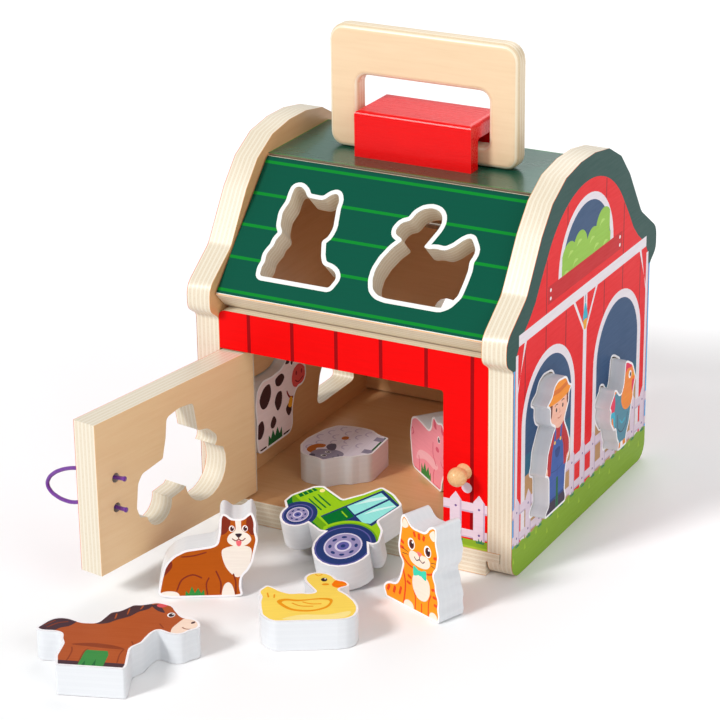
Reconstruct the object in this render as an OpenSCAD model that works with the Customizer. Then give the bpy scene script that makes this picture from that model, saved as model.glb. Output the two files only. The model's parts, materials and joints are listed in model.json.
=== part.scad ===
// Toy barn with an opening front door, a flip-up roof flap, a folding carry
// handle and ten play blocks that pass through holes of their own outline.
// X runs along the ridge, the door side faces -Y, Z is up, millimetres.
// The origin is at the middle of the underside of the floor board.

/* [Barn boards] */
// Thickness of every wall, floor, roof and door board
ply = 15; // [13:0.5:16]
// Length of the barn between the outer faces of its gables
barn_l = 200; // [195:1:230]
// Depth of the barn over its front and back walls
barn_d = 192; // [188:1:204]
// Gap left between boards that are glued and dowelled together
seam = 0.1; // [0.05:0.05:0.2]
// Corner radius of the gables' feet
foot_r = 10; // [4:1:14]

/* [Roof] */
// Height of the top of the roof
roof_z = 206.5; // [204:0.5:212]
// Depth of the flat top panel
top_d = 74; // [70:1:76]
// Slope of the roof sides, in degrees
slope_a = 46; // [45:0.5:48]
// Length of a roof side, measured down the slope
slope_l = 90.6; // [88:0.2:94]
// Gap between each end of the flap and its gable
flap_gap = 0.9; // [0.5:0.1:1.5]
// Open joint between the flap and the top panel
flap_joint = 1.3; // [1.1:0.1:2]
// Depth of the flap's pivot below its outer face and top end
flap_axis = 5; // [4.6:0.1:5.4]
// Easing of the flap's top edge
flap_ease = 2.5; // [2.4:0.1:4]
// Gap between a roof side and the wall that it rests on
rest_gap = 0.3; // [0.2:0.1:0.5]

/* [Door] */
// Width of the post to the right of the door
post_w = 27.3; // [25:0.1:30]
// Height of the door
door_h = 90; // [88:0.5:92]
// Gap between the door and the boards at its hinge edge
hinge_gap = 1.7; // [1.6:0.1:2]
// Gap at the door's free end and under and over the door
door_gap = 1.2; // [1:0.1:1.6]
// How far the door stands open, in degrees
door_open = 99; // [60:1:99]
// Pitch of the two holes for the elastic loop
loop_pitch = 17.8; // [15:0.1:20]
// Diameter of the elastic loop
loop_d = 2.3; // [2:0.1:2.6]

/* [Fastenings] */
// Diameter of the steel pivot pins
pin_d = 4; // [3:0.1:4.5]
// Radial clearance of pins and dowels
pin_fit = 0.05; // [0.02:0.01:0.1]
// Diameter of the wooden dowels
dowel_d = 6; // [5:0.1:6.4]
// Diameter of the door knob's ball
knob_d = 11; // [9:0.5:13]
// Distance from the wall to the middle of the ball
knob_out = 8.5; // [7.5:0.5:11]

/* [Handle and saddle] */
// Overall width of the carry handle
handle_w = 120; // [110:1:130]
// Overall height of the carry handle
handle_h = 73; // [66:1:80]
// Thickness of the handle
handle_t = 12; // [11:0.5:12.5]
// Width of the opening for the hand
grip_w = 82.7; // [80:0.1:88]
// Height of the opening for the hand
grip_h = 32.1; // [28:0.1:34]
// Rounding of the handle's edges
handle_r = 3.5; // [2.5:0.1:3.5]
// Length of the saddle
saddle_l = 74; // [66:1:76]
// Height of the saddle
saddle_h = 27.3; // [26:0.1:32]
// Thickness of the saddle's bridge
saddle_t = 9.4; // [7:0.1:9.4]
// Thickness of the saddle's legs
leg_t = 9; // [7:0.5:12]
// Gap between the handle and the roof
handle_gap = 0.3; // [0.2:0.1:0.5]

/* [Play blocks] */
// Thickness of the blocks
block_t = 17.5; // [14:0.5:18]
// Gap between a block and the edge of its hole, all round
block_fit = 0.55; // [0.4:0.05:0.8]
// Largest rounding of the outlines' corners
block_r = 6; // [3:1:10]

/* [Hidden] */
$fn = 48;
inner = barn_l / 2 - ply;                 // half the room between the gables
front = -barn_d / 2;                      // the outer face of the front wall
eave_y = top_d / 2 + slope_l * cos(slope_a);
eave_z = roof_z - slope_l * sin(slope_a);
wall_z = eave_z - ply * cos(slope_a) - rest_gap;
flap_l = 2 * (inner - flap_gap);
flap_y = -top_d / 2 - flap_axis * cos(slope_a) + flap_axis * sin(slope_a);
flap_z = roof_z - flap_axis * sin(slope_a) - flap_axis * cos(slope_a);
sweep = norm([flap_axis, ply - flap_axis]) + 0.3;   // reach of the flap's inner corner
post_x = inner - post_w;
door_x = -inner + hinge_gap + ply / 2;    // the door's pivot
door_y = front + ply / 2;
door_end = post_x - door_gap;
door_z = ply + door_gap;
head_z = door_z + door_h + door_gap;
loop_x = door_end - 14.85;
loop_z = door_z + 45.1;
knob_x = post_x + 12.8;
knob_z = loop_z;
bar_z = roof_z + handle_gap;
blind = ply * 0.6;                        // depth of a dowel's hole in a gable

// ---- outlines -------------------------------------------------------------

function unit(v) = v / norm(v);
function at(p, i) = let(n = len(p)) p[(i + n) % n];
function xy(p) = [p[0], p[1]];

// The arc that rounds corner p, or p itself where the outline hardly turns.
function arc(a, p, b, r, share) =
  let(u = unit(a - p), v = unit(b - p), half = acos(max(-1, min(1, u * v))) / 2)
  (r < 0.05 || half > 87 || half < 2) ? [p] :
  let(reach = min(r / tan(half), norm(a - p) * share, norm(b - p) * share),
      rr = reach * tan(half), m = p + unit(u + v) * rr / sin(half),
      s = p + u * reach - m, e = p + v * reach - m,
      t = atan2(s[1], s[0]), d = atan2(s[0] * e[1] - s[1] * e[0], s * e),
      n = max(1, ceil(abs(d) / 22)))
  [for (k = [0:n]) m + rr * [cos(t + d * k / n), sin(t + d * k / n)]];

function rounded(p, r = 0, share = 0.45) =
  [for (i = [0:len(p) - 1])
    each arc(xy(at(p, i - 1)), xy(p[i]), xy(at(p, i + 1)), len(p[i]) > 2 ? p[i][2] : r, share)];

function area(p) =
  let(c = [for (i = [0:len(p) - 1]) p[i][0] * at(p, i + 1)[1] - p[i][1] * at(p, i + 1)[0]])
  c * [for (i = c) 0.5];

// The outline with every edge moved outwards by c.
function grown(p, c) =
  let(s = sign(area(p)))
  [for (i = [0:len(p) - 1])
    let(d = unit(p[i] - at(p, i - 1)), f = unit(at(p, i + 1) - p[i]),
        m = s * [d[1], -d[0]], n = s * [f[1], -f[0]])
    p[i] + (m + n) * c / (1 + m * n)];

function ball(c, r, a0, a1, n) = [for (k = [0:n]) c + r * [cos(a0 + (a1 - a0) * k / n),
                                                         sin(a0 + (a1 - a0) * k / n)]];

cat = [[-3.2, 4], [-1.3, 7.3], [2.2, 9], [7.9, 10.1], [10.8, 15.6], [13.7, 24.9], [10.6, 27.9],
  [9.6, 33.7], [11.8, 45.7], [11.8, 50.8], [14, 54.1], [16.7, 53.1], [20.8, 48.5], [31.8, 48.9],
  [34.6, 52.9], [38, 54.9], [40.7, 54.1], [41, 50.2], [40.7, 45.1], [42.7, 38], [41.3, 30.2],
  [37.9, 25.8], [40.6, 20.7], [40.6, 17.2], [43.3, 11.1], [42.3, 6.6], [43.3, 2.8],
  [42.6, -1.8, 1.5], [-0.8, -1.8, 1.5]];
duck = [[0, 0], [33.3, 0], [38.4, 0.9], [42.4, 3.6], [44.5, 9.3], [44.8, 15.2], [43, 22.1],
  [39.4, 29.2], [34.4, 35.6, 2], [40.5, 38.6], [41, 41.2], [39.1, 45.2], [34.4, 46.9],
  [32.2, 52.3], [29, 55.2], [24.7, 56.5], [20.2, 55.7], [17.3, 52.8], [16.5, 48.8],
  [17.2, 45.3], [19.8, 39], [22.5, 32.8], [18.6, 31.8], [14.6, 32.9], [8.3, 32.4],
  [3.6, 35.8], [-1.2, 41.2], [-4.1, 42.7], [-8.5, 36.5], [-8.5, 33], [-7.2, 29.5],
  [-8.2, 23.6], [-8, 16.8], [-7.3, 8.3], [-3.9, 2.7]];
horse = [[-19.7, 37], [-17.6, 41.4], [-15.3, 46.4], [-12.4, 49.6], [-8.5, 50.9], [-4.1, 50.4],
  [3.5, 46.6], [11.3, 46.9], [13.2, 52.7], [15.4, 60], [19.8, 61.8], [22.6, 65.4], [25.8, 70.1],
  [30, 70.3], [38.3, 74.3], [42.2, 73.2], [47.5, 71.2], [50.5, 65.8], [55.1, 58.7], [62, 57.7],
  [64.9, 54.9], [66.6, 50.1], [65.5, 46.8], [61.8, 44.4], [60.1, 41.1], [56.4, 39], [51.4, 40],
  [45.2, 43.5], [42.7, 38.8], [41.5, 33.7], [40.4, 28], [35.6, 21.9], [36.5, 14.1], [37.9, 3.5],
  [37.5, -0.6, 1.5], [1.3, -0.6, 1.5], [-1.2, 9.2], [-0.9, 22.7], [-3, 27.3], [-4.3, 33.4],
  [-8.8, 34.7], [-15.7, 34.4]];
dog = [[-7.4, 3.2], [-5.7, 1], [0, 0], [35.7, 0], [39.6, 0.8], [38.5, 5.4], [38.9, 12.1],
  [42.6, 15.8], [45.2, 20.7], [48.6, 34.6], [47.3, 40.4], [47.8, 43.9], [47.1, 47.9],
  [45.6, 51.4], [43.6, 50.5], [40.3, 47.4], [34.3, 47.8], [32.4, 50], [29.6, 51.1],
  [27.9, 48.7], [27.2, 38.9], [25.8, 32.7], [23, 31.3], [8.4, 29.2], [2.2, 26],
  [-1.6, 22.2], [-3.7, 18.6], [-5.6, 11.8]];
sheep = [[-3.4, 45], [6.3, 45.3], [15.7, 42.8], [23.2, 40.6], [31, 35.9], [32.9, 27], [32.8, 18.8],
  [31.6, 13.5], [26.7, 6.9], [24.5, 0, 1.5], [0, 0], [-2.5, 2.2], [-5.7, 6.2], [-9.6, 9.9],
  [-10.3, 13.6], [-12.4, 16.7], [-19.8, 23.4], [-17.6, 27.8], [-16.3, 36.5], [-13, 40.6]];
pig = [[0, 0], [-1.5, 8], [-3.6, 21], [-1.2, 32.2], [5.7, 34.9], [13.3, 34.5], [25.9, 32.9],
  [28.2, 43.1], [31.2, 44.9], [35.6, 42.4], [42.9, 45.6], [46, 38], [50.5, 32], [56.4, 29.5],
  [57, 21], [52.5, 16.5], [45, 12.5], [42, 6], [41, 0]];
cow = [[2, 0], [0.5, 9], [1.5, 20], [0, 32], [2.5, 41.5], [9, 45], [20, 44], [30, 44.5], [36, 47],
  [38.5, 54], [43, 57], [48, 54.5], [52, 50], [56, 43], [60.5, 36.5], [61, 29.5], [56.5, 25.5],
  [50, 26], [46, 22], [43.5, 14], [43.5, 0]];
rooster = [[3.3, 54.6], [7.4, 53.4], [14.4, 49.4], [17.5, 43.7], [19.9, 38.8], [18.1, 35.5],
  [16.4, 31], [16.6, 27.4], [14.1, 23.8], [11.4, 13.3], [7.7, 7.2], [6.6, 3.6], [8.2, 0.3],
  [0, 0], [-6.7, 0.3], [-4.3, 4.5], [-7.2, 7.9], [-9.6, 15.8], [-12.3, 15.7], [-17.3, 21.7],
  [-18.9, 26.1], [-17.1, 30.1], [-19.9, 32.3], [-16.8, 36.2], [-13.1, 39.3], [-12.6, 41.9],
  [-9.2, 41.2], [-5.6, 37], [-2.2, 35.7], [0.9, 40.2], [2.3, 48.2]];
farmer = [[11.7, 77.5], [15.1, 71.4], [19.1, 69.6], [18.4, 68.1], [15.3, 65.8], [15.5, 60.8],
  [11.1, 54.2], [9.6, 51.2], [14.7, 42.9], [17.4, 37], [17.7, 29], [13.9, 24.2], [12.5, 21.2],
  [11.4, 8.1], [13.2, 3.8], [12.5, 0], [-15.8, 0], [-14.3, 4], [-10.5, 5.9],
  [-11.1, 23.8], [-16.6, 26.1], [-14.4, 30.1], [-13.2, 38.6], [-5.9, 49.6], [-2.8, 51.2],
  [-9.2, 55.1], [-10.8, 59.2], [-10.3, 65.2], [-15, 67.7], [-14.2, 68.8], [-8.2, 71.3],
  [-5.4, 77], [0.7, 78.9]];
small_wheel = [0, 10.4];
big_wheel = [40.4, 17.6];
tractor = concat(
  rounded([[-15.8, 10.1], [-18, 16, 3], [-16.2, 30.2, 5], [-12.7, 34.5, 3], [4.8, 37.3, 2],
    [8, 49.1, 5], [9.4, 60.5, 3], [19.7, 62.6, 8], [31.3, 61.5, 3], [34.5, 43.6, 2],
    [43.1, 42, 8], [54.6, 32, 4]]),
  ball(big_wheel, big_wheel[1], 28, -172, 12), [[20.6, 13.2], [10.3, 11.6]],
  ball(small_wheel, small_wheel[1], -4, -168, 9));

function outline(p) = rounded(p, block_r);
module block(p) linear_extrude(block_t) polygon(p);
module hole(p) linear_extrude(8 * ply, center = true) polygon(grown(p, block_fit));

// ---- walls ----------------------------------------------------------------

// The gable's outline, as [depth, height, corner radius] on the +Y side.
gable_half = [[-front, 0, foot_r], [-front, eave_z - 15.4, 4], [eave_y + 5.1, eave_z - 9.4, 7],
  [eave_y + 5.1, eave_z + 4.6, 10], [eave_y - 19.7, eave_z + 21.8, 8],
  [top_d / 2 + 6, roof_z + 13, 80]];
gable_line = concat(gable_half, [for (i = [len(gable_half) - 1:-1:0])
  [-gable_half[i][0], gable_half[i][1], gable_half[i][2]]]);
tongue_t = 6;
tongue_l = 8;
tongue_end = 12;                          // where the tongue stops, from the back

// Dowels along X, each partly in a gable and partly in the end of a board.
dowel_in = 13;
module dowel(s, p, r, extra) translate([s * (inner + (blind - dowel_in) / 2), p[0], p[1]])
  rotate([0, 90, 0]) cylinder(r = r, h = blind + dowel_in + extra, center = true);
module dowels_at(places, r, extra = 0) for (s = [-1, 1], p = places) dowel(s, p, r, extra);
wall_places = [[front + ply / 2, wall_z - 7.5], [-front - ply / 2, ply + 20],
  [-front - ply / 2, wall_z - 15]];
slope_y = function(s, n) top_d / 2 + s * cos(slope_a) + n * sin(slope_a);
slope_z = function(s, n) roof_z - s * sin(slope_a) + n * cos(slope_a);
roof_places = [[-top_d / 5, roof_z - ply / 2], [top_d / 5, roof_z - ply / 2],
  [slope_y(20, -ply / 2), slope_z(20, -ply / 2)],
  [slope_y(slope_l - 20, -ply / 2), slope_z(slope_l - 20, -ply / 2)]];
post_place = [front + ply / 2, ply + 12];

module post_dowel(r, extra = 0) dowel(1, post_place, r, extra);

// A gable with its dowel holes, its pivot hole and the floor's groove, which
// is open at the front.
module gable_board(s) difference() {
  translate([s * (inner + ply / 2), 0, 0]) rotate([90, 0, 90])
    linear_extrude(ply, center = true) polygon(rounded(gable_line, 0, 0.49));
  translate([s * inner - tongue_l, front - 1, ply - tongue_t - seam])
    cube([2 * tongue_l, barn_d + 1 - tongue_end, tongue_t + 2 * seam]);
  dowels_at(concat(wall_places, roof_places), dowel_d / 2 + pin_fit, 2 * seam);
  flap_pin(pin_d / 2 + pin_fit, 1);
}
module through_gable(y, z) translate([0, y, z]) rotate([90, 0, 90]) children();

module gable_left() color("darkseagreen") difference() {
  gable_board(-1);
  translate([-inner, 0, 0]) through_gable(cow_y, cow_z) hole(outline(cow));
  translate([-inner, 0, 0]) through_gable(dog_y, dog_z) hole(outline(dog));
}
module gable_right() color("darkseagreen") difference() {
  gable_board(1);
  post_dowel(dowel_d / 2 + pin_fit, 2 * seam);
  translate([inner, 0, 0]) through_gable(farmer_y, people_z) hole(outline(farmer));
  translate([inner, 0, 0]) through_gable(rooster_y, people_z) hole(outline(rooster));
}
cow_y = -70;
cow_z = 30;
dog_y = 24.6;
dog_z = 28;
farmer_y = -56.8;
rooster_y = 37;
people_z = 30;
proud = 9;                                // how far these two stand out of the gable
cow_in = 7;                               // how far the cow stands into the barn

module floor_board() color("burlywood") difference() {
  union() {
    translate([-inner + 1, front, 0]) cube([2 * (inner - 1), barn_d, ply]);
    translate([-inner - tongue_l + 0.5, front, ply - tongue_t])
      cube([2 * (inner + tongue_l - 0.5), barn_d - tongue_end - seam, tongue_t]);
  }
  translate([door_x, door_y, door_z - 10]) cylinder(d = pin_d + 2 * pin_fit, h = 20);
}

module front_wall() color("khaki") difference() {
  translate([0, front + ply, 0]) rotate([90, 0, 0]) linear_extrude(ply) polygon(rounded([
    [-inner + seam, head_z], [post_x, head_z, 2], [post_x, ply + seam], [inner - seam, ply + seam],
    [inner - seam, wall_z, 4], [-inner + seam, wall_z, 4]]));
  dowels_at(wall_places, dowel_d / 2 + pin_fit, 2 * seam);
  post_dowel(dowel_d / 2 + pin_fit, 2 * seam);
  translate([door_x, door_y, head_z - 1]) cylinder(d = pin_d + 2 * pin_fit, h = 9);
  translate([knob_x, front + ply - 4, knob_z]) rotate([90, 0, 0])
    cylinder(d = tenon_d + 2 * pin_fit, h = ply);
}
tenon_d = 5.5;

module back_wall() color("khaki") difference() {
  translate([-inner + seam, -front - ply, ply + 1])
    cube([2 * (inner - seam), ply, wall_z - ply - 1]);
  dowels_at(wall_places, dowel_d / 2 + pin_fit, 2 * seam);
  translate([horse_x, -front, horse_z]) rotate([90, 0, 0]) hole(outline(horse));
}
horse_x = -19.5;
horse_z = 35;

// ---- roof -----------------------------------------------------------------

// Both roof sides are drawn with the outer top edge on the origin, running
// towards -Y and lying under Z = 0, and are then tilted into place.
module front_slope() translate([0, -top_d / 2, roof_z]) rotate([slope_a, 0, 0]) children();
module back_slope() mirror([0, 1, 0]) front_slope() children();
module slope_board(l, ease) translate([-l / 2, 0, 0]) rotate([90, 0, 90]) linear_extrude(l)
  polygon(rounded([[-slope_l, 0, 0.8], [-slope_l, -ply, 0.8], [0, -ply], [0, 0, ease]]));

module roof_top() color("lightsteelblue") difference() {
  rotate([90, 0, 90]) translate([0, 0, -inner + seam]) linear_extrude(2 * (inner - seam)) polygon([
    // the front edge leaves room for the flap's corner as it turns
    [-top_d / 2 + flap_joint / cos(slope_a), roof_z],
    [flap_y + sweep, roof_z - (flap_y + sweep + top_d / 2 - flap_joint / cos(slope_a))
      / tan(slope_a)],
    [flap_y + sweep, roof_z - ply],
    [top_d / 2 - ply * sin(slope_a) - seam, roof_z - ply],
    [top_d / 2 - ply * sin(slope_a) - seam, roof_z - ply * cos(slope_a)],
    [top_d / 2 - seam / cos(slope_a), roof_z]]);
  dowels_at(roof_places, dowel_d / 2 + pin_fit, 2 * seam);
}

module roof_back() color("yellowgreen") difference() {
  back_slope() slope_board(2 * (inner - seam), 0);
  dowels_at(roof_places, dowel_d / 2 + pin_fit, 2 * seam);
  back_slope() translate([sheep_x, -slope_l + side_up, 0]) hole(outline(sheep));
  back_slope() translate([pig_x, -slope_l + side_up, 0]) hole(outline(pig));
}
side_up = 19;                             // from a roof side's bottom edge to its holes
sheep_x = -46;
pig_x = 15;
cat_x = -18.2;
duck_x = 52.3;

module roof_flap() color("yellowgreen") difference() {
  front_slope() slope_board(flap_l, flap_ease);
  flap_pin(pin_d / 2 + pin_fit, 1);
  front_slope() translate([cat_x, -slope_l + side_up - 0.9, 0]) mirror([1, 0, 0])
    hole(outline(cat));
  front_slope() translate([duck_x, -slope_l + side_up - 2.9, 0]) mirror([1, 0, 0])
    hole(outline(duck));
}
module flap_pin(r, extra = 0) for (s = [-1, 1]) translate([s * (inner - 2), flap_y, flap_z])
  rotate([0, 90, 0]) cylinder(r = r, h = 2 * blind + extra, center = true);
module flap_pins() color("silver") flap_pin(pin_d / 2);
module wall_dowels() color("wheat") {
  dowels_at(wall_places, dowel_d / 2);
  post_dowel(dowel_d / 2);
}
module roof_dowels() color("wheat") dowels_at(roof_places, dowel_d / 2);

// ---- door -----------------------------------------------------------------

module swung() translate([door_x, door_y, 0]) rotate([0, 0, -door_open])
  translate([-door_x, -door_y, 0]) children();

module front_door() color("tan") swung() difference() {
  union() {
    translate([door_x, front, door_z]) cube([door_end - door_x, ply, door_h]);
    translate([door_x, door_y, door_z]) cylinder(d = ply, h = door_h);
  }
  for (z = [door_z - 1, door_z + door_h - 14]) translate([door_x, door_y, z])
    cylinder(d = pin_d + 2 * pin_fit, h = 15);
  translate([tractor_x, front + ply, tractor_z]) rotate([90, 0, 0]) mirror([1, 0, 0])
    hole(tractor);
  for (s = [-1, 1]) translate([loop_x, front - 1, loop_z + s * loop_pitch / 2]) rotate([-90, 0, 0]) {
    cylinder(d = loop_d + 0.5, h = ply + 2);
    translate([0, 0, 1 + ply - knot_deep]) cylinder(d = 2 * knot_r + 0.8, h = ply);
  }
}
tractor_x = 7.2;
tractor_z = 29.5;
knot_r = 2.4;
knot_deep = 10;

module door_pins() color("silver") translate([door_x, door_y, 0]) {
  translate([0, 0, door_z - 9.5]) cylinder(d = pin_d, h = 22);
  translate([0, 0, door_z + door_h - 13]) cylinder(d = pin_d, h = 21.5);
}

// The elastic loop: out through one hole, round, and back through the other,
// with a knot in each counterbore and a cut end that sticks out behind it.
// Points are [along the door, away from its outer face, height, radius].
loop_half = [[0, -ply - 6.5, -0.6, 1], [0, -ply - 1, -0.1, 1], [0, -11.2, 0, 1], [0, -9.8, 0, 1.9],
  [0, -8, 0, 2.1], [0, -6.5, 0, 1.9], [0, -5.3, 0, 1], [0, -3, 0, 1], [0, 0, 0, 1]];
loop_bend = [[0, 4, -0.3], [-0.2, 9, -1], [-0.5, 15, -2.3], [-0.9, 21.5, -4.4], [-1.2, 28, -7.4],
  [-1.4, 33.5, -11], [-1.5, 37.2, -15], [-1.5, 38.4, -18.8], [-1.4, 36.4, -22], [-1.2, 31.6, -24.1],
  [-1, 25, -24.9], [-0.7, 18, -24], [-0.4, 11.5, -21.6], [-0.1, 5.5, -19]];
loop_path = concat(
  [for (p = loop_half) [p[0], p[1], p[2], p[3]]],
  [for (p = loop_bend) [p[0], p[1], p[2] * loop_pitch / 17.8, 1]],
  [for (i = [len(loop_half) - 1:-1:0]) let(p = loop_half[i])
    [p[0], p[1], -loop_pitch + 2.5 * p[2], p[3]]]);

function ring(c, d, r, n) = let(a = unit(cross(d, [1, 0.02, 0.05])), b = cross(unit(d), a))
  [for (k = [0:n - 1]) c + r * (a * cos(360 * k / n) + b * sin(360 * k / n))];
module tube(p, r, n = 8) {
  m = len(p);
  q = [for (i = [0:m - 1]) [p[i][0], p[i][1], p[i][2]]];
  pts = [for (i = [0:m - 1])
    each ring(q[i], q[min(i + 1, m - 1)] - q[max(i - 1, 0)], r * p[i][3], n)];
  polyhedron(pts, concat([[for (k = [0:n - 1]) k]],
    [for (i = [0:m - 2], k = [0:n - 1])
      [i * n + k, (i + 1) * n + k, (i + 1) * n + (k + 1) % n, i * n + (k + 1) % n]],
    [[for (k = [n - 1:-1:0]) (m - 1) * n + k]]));
}
module door_loop() color("mediumorchid") swung() translate([loop_x, front, loop_z + loop_pitch / 2])
  tube([for (p = loop_path) [p[0], -p[1], p[2], p[3]]], loop_d / 2);

module door_knob() color("wheat") translate([knob_x, front, knob_z]) rotate([90, 0, 0]) {
  translate([0, 0, -ply + 4.5]) cylinder(d = tenon_d, h = ply);
  translate([0, 0, seam]) cylinder(d1 = tenon_d + 4, d2 = tenon_d + 1.4, h = 3);
  translate([0, 0, 1]) cylinder(d = tenon_d + 1.4, h = knob_out - 1);
  translate([0, 0, knob_out]) sphere(d = knob_d);
}

// ---- carry handle ---------------------------------------------------------

// A slab of outline p, w thick along Y, whose edges are rounded by r. A minus
// sign for r flares the ends instead, for the opening cut through the handle.
module pillow(p, w, r, n = 4) {
  a = [for (k = [0:n]) 90 * k / n];
  lv = concat([for (t = a) [abs(r) * (1 - sin(t)), -w / 2 + abs(r) * (1 - cos(t))]],
    [for (i = [n:-1:0]) [abs(r) * (1 - sin(a[i])), w / 2 - abs(r) * (1 - cos(a[i]))]]);
  full = r > 0 ? lv : concat([[abs(r), -w / 2 - 1]], lv, [[abs(r), w / 2 + 1]]);
  m = len(full);
  k = len(p);
  pts = [for (l = full) let(g = grown(p, r > 0 ? -l[0] : l[0])) for (q = g) [q[0], l[1], q[1]]];
  polyhedron(pts, concat([[for (j = [k - 1:-1:0]) j]],
    [for (i = [0:m - 2], j = [0:k - 1])
      [i * k + j, i * k + (j + 1) % k, (i + 1) * k + (j + 1) % k, (i + 1) * k + j]],
    [[for (j = [0:k - 1]) (m - 1) * k + j]]));
}
bar_h = 12;
grip_z = bar_z + bar_h;
handle_y = -1;
// the folded bar's reach from the middle, with half a millimetre to spare
bar_reach = handle_y + handle_t / 2 + bar_h - 2 * handle_r + 0.5;
saddle_d = 2 * (leg_t + bar_reach);
handle_line = [[-handle_w / 2, bar_z, 8], [handle_w / 2, bar_z, 8],
  [handle_w / 2, bar_z + handle_h, 10], [-handle_w / 2, bar_z + handle_h, 10]];
grip_line = [[-grip_w / 2, grip_z, 4], [grip_w / 2, grip_z, 4],
  [grip_w / 2, grip_z + grip_h, 6], [-grip_w / 2, grip_z + grip_h, 6]];
module handle() color("wheat") translate([0, handle_y, 0]) difference() {
  pillow(rounded(handle_line), handle_t, handle_r);
  pillow(rounded(grip_line), handle_t, -handle_r);
}

module handle_saddle() color("crimson") intersection() {
  rotate([90, 0, 90]) linear_extrude(saddle_l, center = true) polygon(rounded([
    [-saddle_d / 2, roof_z], [-bar_reach, roof_z], [-bar_reach, roof_z + saddle_h - saddle_t, 2],
    [bar_reach, roof_z + saddle_h - saddle_t, 2], [bar_reach, roof_z], [saddle_d / 2, roof_z],
    [saddle_d / 2, roof_z + saddle_h, 2.5], [-saddle_d / 2, roof_z + saddle_h, 2.5]]));
  rotate([90, 0, 0]) linear_extrude(2 * saddle_d, center = true) polygon(rounded([
    [-saddle_l / 2, roof_z - 1], [saddle_l / 2, roof_z - 1],
    [saddle_l / 2, roof_z + saddle_h, 2.5], [-saddle_l / 2, roof_z + saddle_h, 2.5]]));
}

// ---- play blocks ----------------------------------------------------------

// Standing on its feet: p is the outline's origin, a its turn about Z.
module upright(p, a) translate(p) rotate([0, 0, a]) translate([0, block_t, 0])
  rotate([90, 0, 0]) children();
module lying(p, a) translate(p) rotate([0, 0, a]) children();
drop = block_fit - 0.25;                  // blocks in holes rest just clear of the lower edge
lean = 16;                                // the tractor leans on the floor's front edge
lean_y = front - (ply + 0.35 / cos(lean)) / tan(lean);

module block_cat() color("orange") upright([46.9, front - 47.8, 1.8], -21.56) block(outline(cat));
module block_duck() color("gold") lying([22.8, front - 129.7, 0], 30.3) block(outline(duck));
module block_tractor() color("limegreen")
  translate([16.2, lean_y + big_wheel[1] * cos(lean), big_wheel[1] * sin(lean) + 0.05])
    rotate([lean, 0, 0]) rotate([0, 0, -33.7]) translate([-big_wheel[0], -big_wheel[1], 0])
      block(tractor);
module block_horse() color("sandybrown") lying([-55.8, front - 220.9, 0], 19.4)
  block(outline(horse));
module block_dog() color("peru") upright([-58.7, front - 102.4, 0], 29.5) block(outline(dog));
module block_sheep() color("lavender") lying([-15.7, front + 54.3, ply + 0.2], 94.7)
  block(outline(sheep));
module block_pig() color("pink") upright([-4, front + 83.2, ply + 0.2], -39) block(outline(pig));
module block_cow() color("white") translate([-inner + cow_in - block_t, 0, 0])
  through_gable(cow_y, cow_z - drop) block(outline(cow));
module block_rooster() color("coral") translate([inner + ply + proud - block_t, 0, 0])
  through_gable(rooster_y, people_z - drop) block(outline(rooster));
module block_farmer() color("royalblue") translate([inner + ply + proud - block_t, 0, 0])
  through_gable(farmer_y, people_z - drop) block(outline(farmer));

floor_board();
gable_left();
gable_right();
front_wall();
back_wall();
roof_top();
roof_back();
roof_flap();
flap_pins();
front_door();
door_pins();
door_loop();
door_knob();
handle();
handle_saddle();
wall_dowels();
roof_dowels();
block_cat();
block_duck();
block_tractor();
block_horse();
block_dog();
block_sheep();
block_pig();
block_cow();
block_rooster();
block_farmer();
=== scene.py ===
import json
import bpy
import numpy as np
from math import cos, degrees, pi, radians, sin, sqrt
from mathutils import Matrix, Vector
from mathutils.geometry import delaunay_2d_cdt

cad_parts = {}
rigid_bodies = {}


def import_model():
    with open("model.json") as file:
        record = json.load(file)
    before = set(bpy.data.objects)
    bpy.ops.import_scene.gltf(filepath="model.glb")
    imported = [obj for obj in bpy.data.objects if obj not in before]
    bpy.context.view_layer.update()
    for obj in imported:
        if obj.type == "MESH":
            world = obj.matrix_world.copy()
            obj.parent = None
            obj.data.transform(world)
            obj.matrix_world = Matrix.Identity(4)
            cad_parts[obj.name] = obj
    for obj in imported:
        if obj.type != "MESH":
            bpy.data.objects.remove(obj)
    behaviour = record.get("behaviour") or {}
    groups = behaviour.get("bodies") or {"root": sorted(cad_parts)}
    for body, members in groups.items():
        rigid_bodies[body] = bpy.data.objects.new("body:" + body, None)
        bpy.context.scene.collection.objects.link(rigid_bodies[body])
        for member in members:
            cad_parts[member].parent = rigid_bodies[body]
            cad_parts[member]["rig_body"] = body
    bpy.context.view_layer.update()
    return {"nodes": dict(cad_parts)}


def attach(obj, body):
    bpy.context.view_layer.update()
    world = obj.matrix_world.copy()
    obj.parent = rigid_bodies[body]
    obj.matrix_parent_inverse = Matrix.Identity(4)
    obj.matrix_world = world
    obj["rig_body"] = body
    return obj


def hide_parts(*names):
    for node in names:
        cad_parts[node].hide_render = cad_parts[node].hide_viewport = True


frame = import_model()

nodes = frame["nodes"]
scene = bpy.context.scene


camera = {"azimuth": 28.35, "elevation": 22.21, "roll": -0.75, "place": (0.6593, -1.3067, 0.6778),
          "lens": 133.7, "sensor": 36, "near": 0.05, "far": 20}


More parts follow.
